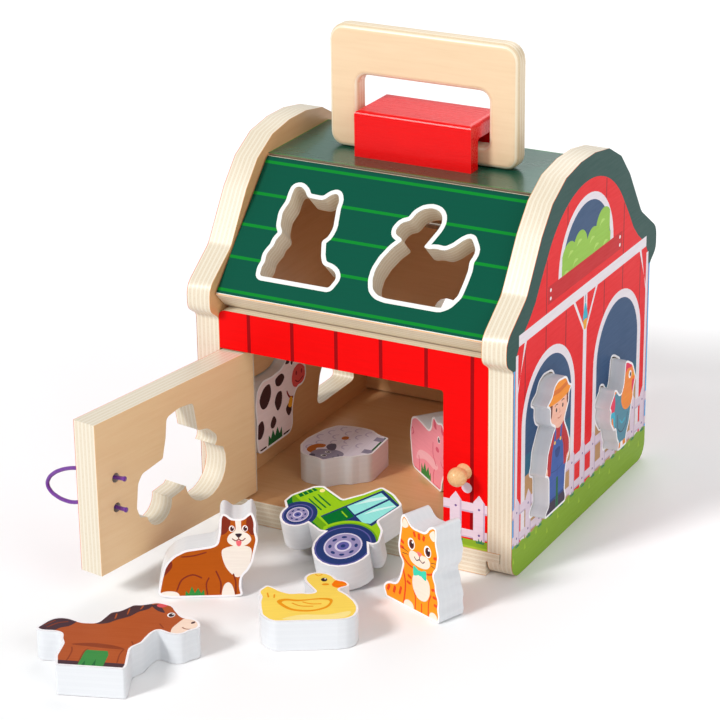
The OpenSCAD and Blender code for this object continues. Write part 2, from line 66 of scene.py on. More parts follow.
def addCamera(c):
    a, e, r = (radians(c[k]) for k in ("azimuth", "elevation", "roll"))
    back = Vector((sin(a) * cos(e), -cos(a) * cos(e), sin(e)))
    right = Vector((0, 0, 1)).cross(back).normalized()
    up = back.cross(right)
    side = right * cos(r) + up * sin(r)
    top = up * cos(r) - right * sin(r)
    data = bpy.data.cameras.new("camera")
    data.lens, data.sensor_width = c["lens"], c["sensor"]
    data.clip_start, data.clip_end = c["near"], c["far"]
    viewer = bpy.data.objects.new("camera", data)
    viewer.matrix_world = Matrix((side, top, back)).transposed().to_4x4()
    viewer.location = c["place"]
    scene.collection.objects.link(viewer)
    scene.camera = viewer


addCamera(camera)

lights = [  # name, kind, place, target, size (m, or degrees for the key), power
    ("key", "SUN", (-0.68, -1.36, 1.14), (0, -0.05, 0.08), 13, 2.15),
    ("fill", "AREA", (1.9, -0.9, 1.1), (0, 0, 0.1), 1.6, 13),
    ("rim", "AREA", (-0.2, 1.7, 1.6), (0, 0.2, 0.1), 2.0, 19),
]
studio = {"colour": (0.98, 0.99, 1, 1), "strength": 0.46}


def addLight(name, kind, place, target, size, power):
    data = bpy.data.lights.new(name, kind)
    data.energy = power
    if kind == "SUN":
        data.angle = radians(size)
    else:
        data.shape, data.size = "DISK", size
    lamp = bpy.data.objects.new(name, data)
    lamp.location = place
    lamp.rotation_euler = (Vector(target) - Vector(place)).to_track_quat("-Z", "Y").to_euler()
    scene.collection.objects.link(lamp)


for one in lights:
    addLight(*one)
scene.world = bpy.data.worlds.new("studio")
scene.world.use_nodes = True
background = scene.world.node_tree.nodes["Background"].inputs
background["Color"].default_value = studio["colour"]
background["Strength"].default_value = studio["strength"]
scene.view_settings.view_transform = "Standard"


def rgb(colour):  # a screen colour, in hex or 0-255, to the shader's linear one
    colour = bytes.fromhex(colour) if isinstance(colour, str) else colour
    linear = [c / 3294.6 if c <= 10.3 else ((c / 255 + 0.055) / 1.055) ** 2.4 for c in colour]
    return (*linear, 1.0)


def put(tree, kind, values=None, **settings):
    node = tree.nodes.new("ShaderNode" + kind)
    for key, value in settings.items():
        setattr(node, key, value)
    for key, value in (values or {}).items():
        if isinstance(value, bpy.types.NodeSocket):
            tree.links.new(value, node.inputs[key])
        else:
            node.inputs[key].default_value = value
    return node


def calc(tree, operation, a, b=0.0, c=0.0):
    return put(tree, "Math", {0: a, 1: b, 2: c}, operation=operation).outputs[0]


def dot(tree, a, b):
    return put(tree, "VectorMath", {0: a, 1: b}, operation="DOT_PRODUCT").outputs["Value"]


def mixed(tree, factor, a, b):
    return put(tree, "Mix", {0: factor, 6: a, 7: b}, data_type="RGBA").outputs[2]


def ramp(tree, value, low, high, top):  # 0 up to the low value, then rising to top at the high one
    return put(tree, "MapRange", {0: value, 1: low, 2: high, 3: 0.0, 4: top}).outputs[0]


def noise(tree, vector, scale, detail=3.0, rough=0.55):
    values = {"Vector": vector, "Scale": scale, "Detail": detail, "Roughness": rough}
    return put(tree, "TexNoise", values).outputs[0]


def newGroup(name, inputs):
    tree = bpy.data.node_groups.new(name, "ShaderNodeTree")
    places = {"Position": "Vector", "Across": "Vector", "Grain": "Vector"}
    made = {"Colour": "Color", "Roughness": "Float", "Height": "Float"}
    for sockets, way in (({**places, **inputs}, "INPUT"), (made, "OUTPUT")):
        for label, kind in sockets.items():
            tree.interface.new_socket(label, in_out=way, socket_type="NodeSocket" + kind)
    ends = tree.nodes.new("NodeGroupInput").outputs, tree.nodes.new("NodeGroupOutput").inputs
    return tree, *ends


def grainVector(tree, position, axis, grain, stretch):
    # the position turned so that X runs along the grain, and shortened that way
    side = put(tree, "VectorMath", {0: axis, 1: grain}, operation="CROSS_PRODUCT").outputs[0]
    parts = [calc(tree, "MULTIPLY", dot(tree, position, direction), scale)
             for direction, scale in ((grain, stretch), (side, 1.0), (axis, 1.0))]
    return put(tree, "CombineXYZ", dict(enumerate(parts))).outputs[0]


plyTexture = {"wave": 28.0, "waveHeight": 0.35, "streak": 420.0, "broad": 75.0, "pores": 1900.0,
              "stretch": 0.07, "faceDepth": 0.00035}  # scales per metre; the last one in m
filmTexture = {"streak": 700.0, "patch": 34.0, "dots": 2600.0, "stretch": 0.08}


def makePlyGroup():
    look = plyTexture
    tree, i, o = newGroup("plyLayers", {
        "Middle": "Float", "Thickness": "Float", "Layers": "Float", "Figure": "Float",
        "Face Colour": "Color", "Streak Colour": "Color", "Long Colour": "Color",
        "Cross Colour": "Color", "Glue Colour": "Color"})
    deep = calc(tree, "SUBTRACT", dot(tree, i["Position"], i["Across"]), i["Middle"])
    part = calc(tree, "ADD", calc(tree, "DIVIDE", deep, i["Thickness"]), 0.5)
    wave = noise(tree, i["Position"], look["wave"], 2.0)
    layer = calc(tree, "MULTIPLY", part, i["Layers"])
    wave = calc(tree, "SUBTRACT", wave, 0.5)
    layer = calc(tree, "MULTIPLY_ADD", wave, look["waveHeight"], layer)
    within = calc(tree, "FRACT", layer)
    odd = calc(tree, "GREATER_THAN", calc(tree, "MODULO", calc(tree, "FLOOR", layer), 2.0), 0.5)
    lines = calc(tree, "ABSOLUTE", calc(tree, "SUBTRACT", within, 0.5))
    glue = ramp(tree, lines, 0.44, 0.5, 0.9)
    along = grainVector(tree, i["Position"], i["Across"], i["Grain"], look["stretch"])
    streak = noise(tree, along, look["streak"], 4.0, 0.6)
    broad = noise(tree, along, look["broad"], 3.0, 0.5)
    pores = noise(tree, i["Position"], look["pores"], 2.0, 0.7)
    cross = mixed(tree, ramp(tree, pores, 0.42, 0.75, 0.6), i["Cross Colour"], i["Glue Colour"])
    edge = mixed(tree, odd, i["Long Colour"], cross)
    edge = mixed(tree, glue, edge, i["Glue Colour"])
    figure = calc(tree, "MULTIPLY", ramp(tree, streak, 0.38, 0.72, 1.0), 0.55)
    figure = calc(tree, "MULTIPLY_ADD", broad, 0.7, figure)
    figure = calc(tree, "MULTIPLY", figure, i["Figure"])
    face = mixed(tree, figure, i["Face Colour"], i["Streak Colour"])
    rim = calc(tree, "SUBTRACT", calc(tree, "MULTIPLY", i["Thickness"], 0.5), look["faceDepth"])
    onFace = calc(tree, "GREATER_THAN", calc(tree, "ABSOLUTE", deep), rim)
    relief = calc(tree, "MULTIPLY", glue, 0.25)
    relief = calc(tree, "SUBTRACT", calc(tree, "MULTIPLY", streak, 0.6), relief)
    tree.links.new(mixed(tree, onFace, edge, face), o["Colour"])
    tree.links.new(calc(tree, "MULTIPLY_ADD", streak, 0.18, 0.36), o["Roughness"])
    tree.links.new(relief, o["Height"])
    return tree


def makeFilmGroup():
    look = filmTexture
    tree, i, o = newGroup("filmOnWood", {
        "Colour": "Color", "Second Colour": "Color", "Streaks": "Float", "Patches": "Float",
        "Gloss Loss": "Float"})
    along = grainVector(tree, i["Position"], i["Across"], i["Grain"], look["stretch"])
    streak = noise(tree, along, look["streak"], 4.0, 0.6)
    patch = noise(tree, i["Position"], look["patch"], 3.0, 0.5)
    dots = noise(tree, i["Position"], look["dots"], 2.0, 0.6)
    thin = ramp(tree, streak, 0.35, 0.75, 1.0)
    amount = calc(tree, "MULTIPLY", thin, i["Streaks"])
    amount = calc(tree, "MULTIPLY_ADD", patch, i["Patches"], amount)
    wear = calc(tree, "MULTIPLY_ADD", calc(tree, "ADD", patch, thin), 0.09, i["Gloss Loss"])
    relief = calc(tree, "MULTIPLY_ADD", dots, 0.25, calc(tree, "MULTIPLY", streak, 0.8))
    tree.links.new(mixed(tree, amount, i["Colour"], i["Second Colour"]), o["Colour"])
    tree.links.new(wear, o["Roughness"])
    tree.links.new(relief, o["Height"])
    return tree


plyGroup, filmGroup = makePlyGroup(), makeFilmGroup()


def surface(name, group, values, coat=0.0, coatRough=0.12, metallic=0.0, bump=0.35, relief=0.00006,
            shine=0.5, tint=(1, 1, 1, 1)):
    made = bpy.data.materials.new(name)
    made.use_nodes = True
    tree = made.node_tree
    tree.nodes.clear()
    place = put(tree, "TexCoord").outputs["Object"]
    effect = put(tree, "Group", {"Position": place, **values}, node_tree=group).outputs
    normal = put(tree, "Bump", {"Strength": bump, "Distance": relief, "Height": effect["Height"]})
    shader = put(tree, "BsdfPrincipled", {
        "Base Color": effect["Colour"], "Roughness": effect["Roughness"],
        "Normal": normal.outputs[0], "Coat Weight": coat, "Coat Roughness": coatRough,
        "Metallic": metallic, "Specular IOR Level": shine, "Specular Tint": tint})
    put(tree, "OutputMaterial", {"Surface": shader.outputs[0]})
    return made


def film(name, colour, second, streaks=0.35, patches=0.3, loss=0.3, across=(0, 0, 1),
         grain=(1, 0, 0), **more):
    # paint or a bare wood's colour; head-on reflections take most of it on
    strong = rgb(colour)
    tint = tuple(0.2 + 0.8 * c / max(strong[:3]) for c in strong[:3])
    return surface(name, filmGroup, {
        "Across": across, "Grain": grain, "Colour": strong, "Second Colour": rgb(second),
        "Streaks": streaks, "Patches": patches, "Gloss Loss": loss}, tint=(*tint, 1), **more)


def turn(axis, degrees):
    return Matrix.Rotation(radians(degrees), 4, axis)


def move(x, y, z):
    return Matrix.Translation((x, y, z))


ply, blockDepth = (-15, 0), 17.5  # mm
toy = (0, blockDepth)
hinge = {"x": 75.8, "y": 88.5, "open": 99}  # the door's, mm and degrees
bigWheel = (40.4, 17.6, 17.6)  # the tractor's: centre and radius, mm
tractor = {"x": 16.2, "y": -149.58, "lean": 16, "roll": -33.7, "lift": 0.05}


def upright(x, y, z, angle):
    return move(x, y, z) @ turn("Z", angle) @ move(0, blockDepth, 0) @ turn("X", 90)


def lying(x, y, z, angle):
    return move(x, y, z) @ turn("Z", angle)


def leaning(t):  # on its front wheel's rim, with the big wheel's centre over the place
    x, y, r = bigWheel
    lean = radians(t["lean"])
    place = move(t["x"], t["y"] + r * cos(lean), r * sin(lean) + t["lift"])
    return place @ turn("X", t["lean"]) @ turn("Z", t["roll"]) @ move(-x, -y, 0)


def wall(x, y, z, angle):
    return move(x, y, z) @ turn("Z", angle) @ turn("X", 90)


doorSwing = (move(-hinge["x"], -hinge["y"], 0) @ turn("Z", -hinge["open"])
             @ move(hinge["x"], hinge["y"], 0))
boards = {  # node: its place, then its lowest and highest z there; z is across a board or block
    "floor_board": (move(0, 0, 15), *ply),
    "gable_left": (wall(-100, 0, 0, -90), *ply),
    "gable_right": (wall(100, 0, 0, 90), *ply),
    "front_wall": (wall(0, -96, 0, 0), *ply),
    "back_wall": (wall(0, 96, 0, 180), *ply),
    "roof_top": (move(0, 0, 206.5), *ply),
    "roof_flap": (move(0, -37, 206.5) @ turn("X", 46), *ply),
    "roof_back": (move(0, 37, 206.5) @ turn("Z", 180) @ turn("X", 46), *ply),
    "front_door": (doorSwing @ wall(0, -96, 0, 0), *ply),
    "handle": (wall(0, -7, 0, 0), -12, 0),
    "block_cat": (upright(46.9, -143.8, 1.8, -21.56), *toy),
    "block_duck": (lying(22.8, -225.7, 0, 30.3), *toy),
    "block_horse": (lying(-55.8, -316.9, 0, 19.4), *toy),
    "block_dog": (upright(-58.7, -198.4, 0, 29.5), *toy),
    "block_sheep": (lying(-15.7, -41.7, 15.2, 94.7), *toy),
    "block_pig": (upright(-4, -12.8, 15.2, -39), *toy),
    "block_tractor": (leaning(tractor), *toy),
    "block_cow": (wall(-95.5, -70, 29.7, 90), *toy),
    "block_rooster": (wall(91.5, 37, 29.7, 90), *toy),
    "block_farmer": (wall(91.5, -56.8, 29.7, 90), *toy),
}

plyParts = ("Face Colour", "Streak Colour", "Long Colour", "Cross Colour", "Glue Colour", "Figure",
            "Layers")
plyLooks = {
    "birch": ("e2b27e", "ce9662", "e5dbc7", "e0d3bb", "c8b393", 0.5, 11.0),
    "door": ("eecc9e", "e0b482", "e5dcca", "e0d5be", "cab697", 0.5, 11.0),
    "handle": ("eccfaa", "dcb88e", "eedec2", "e6d0ac", "ceb088", 0.5, 9.0),
    "white": ("dfe1e4", "dcdee1", "dfe1e4", "dee0e3", "dadce0", 0.3, 9.0),
}


def plyMaterial(name, node, look, **more):
    matrix, low, high = boards[node]
    across, grain = ((matrix.to_3x3() @ Vector(v)).normalized() for v in ((0, 0, 1), (1, 0, 0)))
    values = {k: rgb(v) if isinstance(v, str) else v for k, v in zip(plyParts, plyLooks[look])}
    values.update({"Across": across, "Grain": grain, "Thickness": (high - low) / 1000,
                   "Middle": (across.dot(matrix.translation) + (high + low) / 2) / 1000})
    return surface(name, plyGroup, values, **more)


def dress(node, material):
    slots = nodes[node].material_slots
    for one in slots:
        one.material = material
    if not slots:
        nodes[node].data.materials.append(material)


def readMesh(source, key, width, kind=float):
    flat = np.empty(len(source) * width, kind)
    source.foreach_get(key, flat)
    return flat.reshape(-1, width) if width > 1 else flat


def softenFacets(mesh, limit=40, weld=2e-5, tiny=1e-12):
    # neighbouring facets that meet at less than the limit are shaded as one curve, by area
    corners = readMesh(mesh.loops, "vertex_index", 1, int)
    places = readMesh(mesh.vertices, "co", 3)
    sizes = readMesh(mesh.polygons, "area", 1)
    sides = readMesh(mesh.polygons, "loop_total", 1, int)
    owner = np.repeat(np.arange(len(sides)), sides)
    normals, weights = readMesh(mesh.polygons, "normal", 3)[owner], sizes[owner]
    spots = np.rint(places[corners] / weld).astype(int)
    group = np.unique(spots, axis=0, return_inverse=True)[1].ravel()
    order = np.argsort(group, kind="stable")
    starts = np.flatnonzero(np.r_[True, np.diff(group[order]) > 0, True])
    soft = np.zeros((len(corners), 3))
    for first, last in zip(starts, starts[1:]):
        here = order[first:last]
        near = normals[here] @ normals[here].T > cos(radians(limit))
        soft[here] = (near * weights[here]) @ normals[here]
    length = np.linalg.norm(soft, axis=1, keepdims=True)
    soft = np.where(length > tiny, soft / np.maximum(length, tiny), normals)
    mesh.polygons.foreach_set("use_smooth", [True] * len(sides))
    mesh.normals_split_custom_set(soft.tolist())


for node in boards:
    softenFacets(nodes[node].data)
    if node.startswith("block_"):
        dress(node, plyMaterial(node + "Sides", node, "white", coat=0.15, bump=0.25))
    else:
        look = {"handle": "handle", "front_door": "door"}.get(node, "birch")
        dress(node, plyMaterial(node + "Ply", node, look, coat=0.25, coatRough=0.25))

dress("handle_saddle", film("saddlePaint", "f0080c", "ce0408", 0.25, 0.4, 0.2, coat=0.12))
dress("door_knob", film("turnedBeech", "eec896", "d6a068", 0.7, 0.5, 0.3,
                        grain=(0, 1, 0), coat=0.3))
for node in ("wall_dowels", "roof_dowels"):
    dress(node, film(node + "Wood", "e2be8c", "cda06e", 0.7, 0.4, 0.5))
steel = film("pinSteel", "c4c6ca", "96989e", 0.6, 0.3, 0.25, metallic=1.0)
dress("flap_pins", steel)
dress("door_pins", steel)
print("stage: boards dressed")


def makePiece(name, places, faces, *materials):
    mesh = bpy.data.meshes.new(name)
    mesh.from_pydata(places, [], faces)
    for one in materials:
        mesh.materials.append(one)
    mesh.update()
    piece = bpy.data.objects.new(name, mesh)
    scene.collection.objects.link(piece)
    return piece


# flat outlines, in mm on a board's face

def disc(x, y, rx, ry=None, tilt=0.0, count=26):
    ry = rx if ry is None else ry
    c, s = cos(radians(tilt)), sin(radians(tilt))
    steps = [2 * pi * k / count for k in range(count)]
    ring = [(rx * cos(t), ry * sin(t)) for t in steps]
    return [(x + c * a - s * b, y + s * a + c * b) for a, b in ring]


def arc(x, y, r, angles):
    angles = [radians(a) for a in angles]
    return [(x + r * cos(a), y + r * sin(a)) for a in angles]


def smooth(points, closed, steps=5):
    # a round curve through the points
    n, line = len(points), []
    for k in range(n if closed else n - 1):
        pick = [points[j % n] if closed else points[min(max(j, 0), n - 1)]
                for j in (k - 1, k, k + 1, k + 2)]
        for t in (m / steps for m in range(steps)):
            w = (-t + 2 * t * t - t ** 3, 2 - 5 * t * t + 3 * t ** 3, t + 4 * t * t - 3 * t ** 3,
                 t ** 3 - t * t)
            line.append(tuple(sum(w[q] * pick[q][d] for q in range(4)) / 2 for d in (0, 1)))
    return line if closed else line + [points[-1]]


def shape(*flat):
    return list(zip(flat[::2], flat[1::2]))


def blob(*flat):
    return smooth(shape(*flat), True)


def box(x0, y0, x1, y1):
    return [(x0, y0), (x1, y0), (x1, y1), (x0, y1)]


def stroke(width, *flat):
    line = [Vector(p) for p in smooth(shape(*flat), False, 4)]
    left, right = [], []
    for k, p in enumerate(line):
        d = (line[min(k + 1, len(line) - 1)] - line[max(k - 1, 0)]).normalized() * width / 2
        left.append((p.x - d.y, p.y + d.x))
        right.append((p.x + d.y, p.y - d.x))
        if k in (0, len(line) - 1):  # a round end
            q = p + (d if k else -d) * 0.8
            (left if k else right).append((q.x, q.y))
    return left + right[::-1]


def strokes(width, *lines):
    return [stroke(width, *line) for line in lines]


def arch(x0, x1, foot, spring, top, steps=24):
    # an arched window: straight sides up to the springing, half an ellipse above it
    mid, half = (x0 + x1) / 2, (x1 - x0) / 2
    angles = [pi * k / steps for k in range(steps + 1)]
    crown = [(mid + half * cos(a), spring + (top - spring) * sin(a)) for a in angles]
    return [(x0, foot), (x1, foot)] + crown


def contains(points, outline):
    p = np.array(outline)
    q = np.roll(p, -1, 0)
    x, y = points[:, :1], points[:, 1:]
    left = (q[:, 0] - p[:, 0]) * (y - p[:, 1]) - (x - p[:, 0]) * (q[:, 1] - p[:, 1])
    up = ((p[:, 1] <= y) & (q[:, 1] > y) & (left > 0)).sum(1)
    return up != ((p[:, 1] > y) & (q[:, 1] <= y) & (left < 0)).sum(1)


def nearness(points, loop):
    p = np.array(loop)
    d = np.roll(p, -1, 0) - p
    t = ((points[:, None] - p) * d).sum(2) / np.maximum((d * d).sum(1), 1e-9)
    return np.linalg.norm(p + np.clip(t, 0, 1)[..., None] * d - points[:, None], axis=2).min(1)


def shifted(loop, distance):
    # the loop moved to its left by that distance
    moved = []
    for k, p in enumerate(loop):
        a = (Vector(p) - Vector(loop[k - 1])).normalized()
        b = (Vector(loop[(k + 1) % len(loop)]) - Vector(p)).normalized()
        n = Vector((-a.y - b.y, a.x + b.x))
        scale = distance / max(0.35, 1 + a.dot(b))
        moved.append((p[0] + n.x * scale, p[1] + n.y * scale))
    return moved


def borderEdges(tris):
    # the edges that only one of the triangles has
    edges = set()
    for a, b, c in tris:
        for s, e in ((a, b), (b, c), (c, a)):
            if s != e:
                edges.add((s, e)) if (e, s) not in edges else edges.remove((e, s))
    return edges


def faceLoops(node, inverse, height, weld=0.02):
    # the edges of the node's flat face at that local height, as closed loops
    mesh = nodes[node].data
    mesh.calc_loop_triangles()
    m = np.array(inverse)
    local = (readMesh(mesh.vertices, "co", 3) * 1000) @ m[:3, :3].T + m[:3, 3]
    tris = readMesh(mesh.loop_triangles, "vertices", 3, int)
    flat = tris[(abs(local[tris][:, :, 2] - height) < weld).all(1)]
    keys, place = {}, []
    for v, (x, y, _) in enumerate(local):
        place.append(keys.setdefault((round(x / weld), round(y / weld)), v))
    onward = dict(borderEdges([[place[v] for v in t] for t in flat]))
    loops = []
    while onward:
        start, following = onward.popitem()
        loop = [start]
        while following != start and following in onward:
            loop.append(following)
            following = onward.pop(following)
        loops.append([(local[v, 0], local[v, 1]) for v in loop])
    return loops


def extent(loop):
    p = np.array(loop)
    return np.ptp(p[:, 0]) * np.ptp(p[:, 1])


inks = {
    "red": "ec080a", "plankLine": "960a10", "gableRed": "ec0e18", "gableLine": "aa0e18",
    "beamRed": "cc0c18", "slate": "224a44", "night": "345278", "nightLow": "26627c",
    "white": "faf8fa", "trim": "eee6ec", "fence": "e4d2e0", "fenceShade": "cab4cc",
    "nail": "785c96", "grass": "8ab02e", "grassLight": "a8c83c", "tuft": "34805c", "bush": "98c848",
    "bushLight": "b6dc68", "straw": "be9264", "sky": "5cb2e8", "roof": "044c3a",
    "roofStripe": "08842c", "roofEdge": "ecf0ec", "cat": "ff981c", "catStripe": "e8481e",
    "cream": "ffe8d6", "bow": "40d6b4", "brown": "78341e", "ink": "34242c", "eyeWhite": "ffffff",
    "pinkNose": "f07878", "duck": "fede60", "duckPale": "ffec96", "wing": "f29e14",
    "beak": "ff7e08", "lime": "98cc1e", "limeDark": "6aa81a", "tractorGreen": "067030",
    "tyre": "263a70", "tread": "5c5ca0", "hub": "968eb8", "hubLight": "d6d0e6", "glass": "96eae2",
    "glassLight": "d6faf6", "lamp": "fff096", "horse": "b25426", "horseDark": "8e3c1c",
    "mane": "462c34", "muzzle": "fae0cc", "ear": "e2565c", "leaf": "388c42", "leafDark": "1c6434",
    "dog": "b85816", "dogDark": "843222", "dogWhite": "f8eee2", "tongue": "f26e78",
    "wool": "eee8f4", "woolLine": "ccc2da", "face": "9690a6", "earGrey": "5c586e",
    "straps": "c36c24", "pig": "fa9eac", "pigDark": "e2627c", "pigPale": "ffc0c8", "hide": "f6e6e6",
    "spot": "422628", "snout": "e25854", "snoutLine": "8c1e28", "bell": "f0a828", "neck": "f88e38",
    "comb": "ea3458", "body": "548ca0", "bodyLine": "465c70", "plume": "38b2cc", "feet": "ec8c28",
    "hat": "fa9626", "hatBand": "e27428", "skin": "f8bea6", "skinLine": "d68270", "hair": "783a2c",
    "shirt": "bc242a", "shirtDark": "921a24", "denim": "3a5ca4", "denimDark": "284280",
    "button": "face46", "boot": "3a2e42",
}
inkMade = {}
printLayer = {"proud": 0.05, "sunk": 0.15, "leastHole": 60}  # mm, mm, mm2


def inkMaterial(name, across, grain, key, gloss):
    # one ink on one kind of board, with the wood's grain showing through
    label = name + key
    if label not in inkMade:
        r, g, b = bytes.fromhex(inks[name])
        inkMade[label] = film(
            label, (r, g, b), (r * 0.9, g * 0.86, b * 0.86), 0.28, 0.22, 0.32 - gloss / 6, across,
            grain, coat=gloss, coatRough=0.14, bump=0.22, shine=0.14 + gloss / 2)
    return inkMade[label]


def inked(art):
    # a picture is a list in which an ink's name is followed by the outlines it fills
    made = []
    for one in art:
        if isinstance(one, str):
            ink = one
        else:
            made.append((ink, one))
    return made


def printFace(name, node, art, base, rims=(), side=1, gloss=0.0):
    # a thin printed layer on the node's flat face; rims are (ink, "outer" or "holes", width)
    matrix, low, high = boards[node]
    height = high if side > 0 else low
    loops = sorted(faceLoops(node, matrix.inverted(), height), key=extent, reverse=True)
    outer, holes = loops[:1], [l for l in loops[1:] if extent(l) > printLayer["leastHole"]]
    rimLoops = {"outer": outer, "holes": holes}
    art = inked(art)
    lines = outer + holes + [outline for _, outline in art]
    for _, which, width in rims:
        for loop in rimLoops[which]:
            lines += [shifted(loop, width), shifted(loop, -width)]
    points, edges = [], []
    for line in lines:
        first, n = len(points), len(line)
        points += [Vector(p) for p in line]
        edges += [(first + k, first + (k + 1) % n) for k in range(n)]
    made = delaunay_2d_cdt(points, edges, [], 0, 1e-4)
    flat, tris = np.array([tuple(p) for p in made[0]]), np.array(made[2])
    middle = flat[tris].mean(1)
    keep = contains(middle, outer[0])
    for hole in holes:
        keep &= ~contains(middle, hole)
    tris, middle = tris[keep], middle[keep]
    names = list(dict.fromkeys([base] + [ink for ink, _ in art] + [rim[0] for rim in rims]))
    pick = np.zeros(len(tris), int)
    for ink, outline in art:
        pick[contains(middle, outline)] = names.index(ink)
    for ink, which, width in rims:
        for loop in rimLoops[which]:
            pick[nearness(middle, loop) < width] = names.index(ink)
    a, b, c = (flat[tris[:, k]] for k in range(3))
    turned = (b - a)[:, 0] * (c - a)[:, 1] - (b - a)[:, 1] * (c - a)[:, 0] < 0
    tris[turned] = tris[turned][:, ::-1]
    if side < 0:
        tris = tris[:, ::-1]
    used, tris = np.unique(tris, return_inverse=True)
    tris, n = tris.reshape(-1, 3).tolist(), len(used)
    ring = sorted(borderEdges(tris))
    places = [(*flat[v], height + side * z)
              for z in (printLayer["proud"], -printLayer["sunk"]) for v in used]
    faces = tris + [[v + n for v in t[::-1]] for t in tris]
    faces += [[e, s, s + n, e + n] for s, e in ring]
    across, grain = (tuple(round(x, 3) for x in matrix.to_3x3() @ Vector(v))
                     for v in ((0, 0, 1), (1, 0, 0)))
    piece = makePiece(name, [matrix @ Vector(p) / 1000 for p in places], faces,
                      *[inkMaterial(ink, across, grain, "On" + name, gloss) for ink in names])
    piece.data.polygons.foreach_set("material_index", pick.tolist() * 2 + [0] * len(ring))
    piece.data.update()
    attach(piece, nodes[node]["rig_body"])
    return piece


fencing = {"width": 7.2, "shade": 1.1, "tip": 48.4, "shoulder": 43.7, "shadeTop": 44.9,
           "step": 14.4, "nails": (39.6, 23.8), "nail": 0.75,
           "rails": ((37, 38, 43), (21.3, 22.2, 26.4))}  # foot, top of the shade, top
grassing = {"step": 4.6, "wave": (-0.3, 0.9), "bladeStep": 3,
            "tuft": (-3, 0, -3.6, 2.6, -1.7, 0.9, -1.2, 4.2, 0, 1.2, 1.5, 3.8, 1.6, 0.8, 3.4, 2.2,
                     2.8, 0)}


def picket(x, foot):
    f = fencing
    left, right, shoulder = x - f["width"] / 2, x + f["width"] / 2, f["shoulder"]
    shade = right - f["shade"]
    return ["fence", shape(left, foot, right, foot, right, shoulder, x, f["tip"], left, shoulder),
            "fenceShade", shape(shade, foot, right, foot, right, shoulder, shade, f["shadeTop"]),
            "nail", *[disc(x, z, f["nail"], count=10) for z in f["nails"]]]


def fence(x0, x1, posts, foot):
    art = []
    for low, shade, high in fencing["rails"]:
        art += ["fence", box(x0, low, x1, high), "fenceShade", box(x0, low, x1, shade)]
    return sum((picket(x, foot) for x in posts), art)


def tuft(x, y, size):
    return [(x + a * size, y + b * size) for a, b in shape(*grassing["tuft"])]


def lawn(x0, x1, top, posts):
    edge, x, k = [x0, -2], x0, 0
    while x < x1:
        edge += [x, top + grassing["wave"][k % 2]]
        x, k = x + grassing["step"], k + 1
    art = ["grass", shape(*edge, x1, top, x1, -2)]
    for k, p in enumerate(posts):
        z = grassing["bladeStep"] * (k % 3)
        blade = shape(p - 5, 9.5 + z, p - 3.9, 13.6 + z, p - 2.6, 9.8 + z)
        art += ["tuft", tuft(p + 1.2, top - 1.6, 0.8), "grassLight", blade]
    return art


barn = {"plankLine": 2.2, "plankStep": 28.15, "firstPlank": -65.4, "doorPlanks": (-56, -28, 0, 28),
        "backPlanks": (-70.5, -42.3, -14.1, 14.1, 42.3, 70.5), "stripe": 1.9,
        "stripeTops": (4.9, 25.25, 45.55, 66.1, 86.8)}
gable = {"line": 1.2, "lines": (-81, -54, -27, 27, 54, 81), "crown": 141, "radius": 64.9,
         "eaves": shape(92.3, 110, 92.0, 134, 87.5, 141.2, 76, 149.6, 68.5, 157, 61.5, 167.3)}


def planks(places, foot, top):
    half = barn["plankLine"] / 2
    return ["plankLine", *[box(x - half, foot, x + half, top) for x in places]]


def frontArt():
    places = [barn["firstPlank"] + barn["plankStep"] * k for k in range(6)]
    return [*planks(places, 14, 132), *fence(50, 86, (65.4, 79.8), 18),
            "fence", disc(72.2, 51.7, 3.2), "grass", box(40, 10, 86, 20.4),
            "tuft", tuft(67, 18.6, 0.9), tuft(80.5, 18.8, 0.8), "grassLight", box(40, 14, 86, 16.4)]


def doorArt():
    posts = [-68 + fencing["step"] * k for k in range(9)]
    return [*planks(barn["doorPlanks"], 14, 108), "trim", box(-76, 97, 57, 101),
            box(-76, 52, 57, 55.5), *fence(-76, 57, posts, 18), *lawn(-84, 60, 20, posts)]


def backArt():
    posts = [-80.5 + fencing["step"] * k for k in range(12)]
    return [*planks(barn["backPlanks"], 10, 132), "trim", box(-86, 118.6, 86, 122.6),
            box(-76, 18, -72, 119), box(72, 18, 76, 119), *fence(-86, 86, posts, 17),
            *lawn(-86, 86, 19.6, posts)]


def roofArt():
    half = barn["stripe"] / 2
    return ["roofStripe", *[box(-90, -s - half, 90, -s + half) for s in barn["stripeTops"]],
            "roofEdge", box(-90, -92, 90, -89.4)]


def onBothSides(near, far, foot, top):
    return [box(min(s * near, s * far), foot, max(s * near, s * far), top) for s in (-1, 1)]


def mirrored(*flat):
    return [[(s * x, z) for x, z in shape(*flat)] for s in (-1, 1)]


def gableLineTop(x):
    if abs(x) >= 55:
        return 145
    rise = sqrt(max(0, gable["radius"] ** 2 - x * x))
    return min(204, gable["crown"] + rise - 0.5)


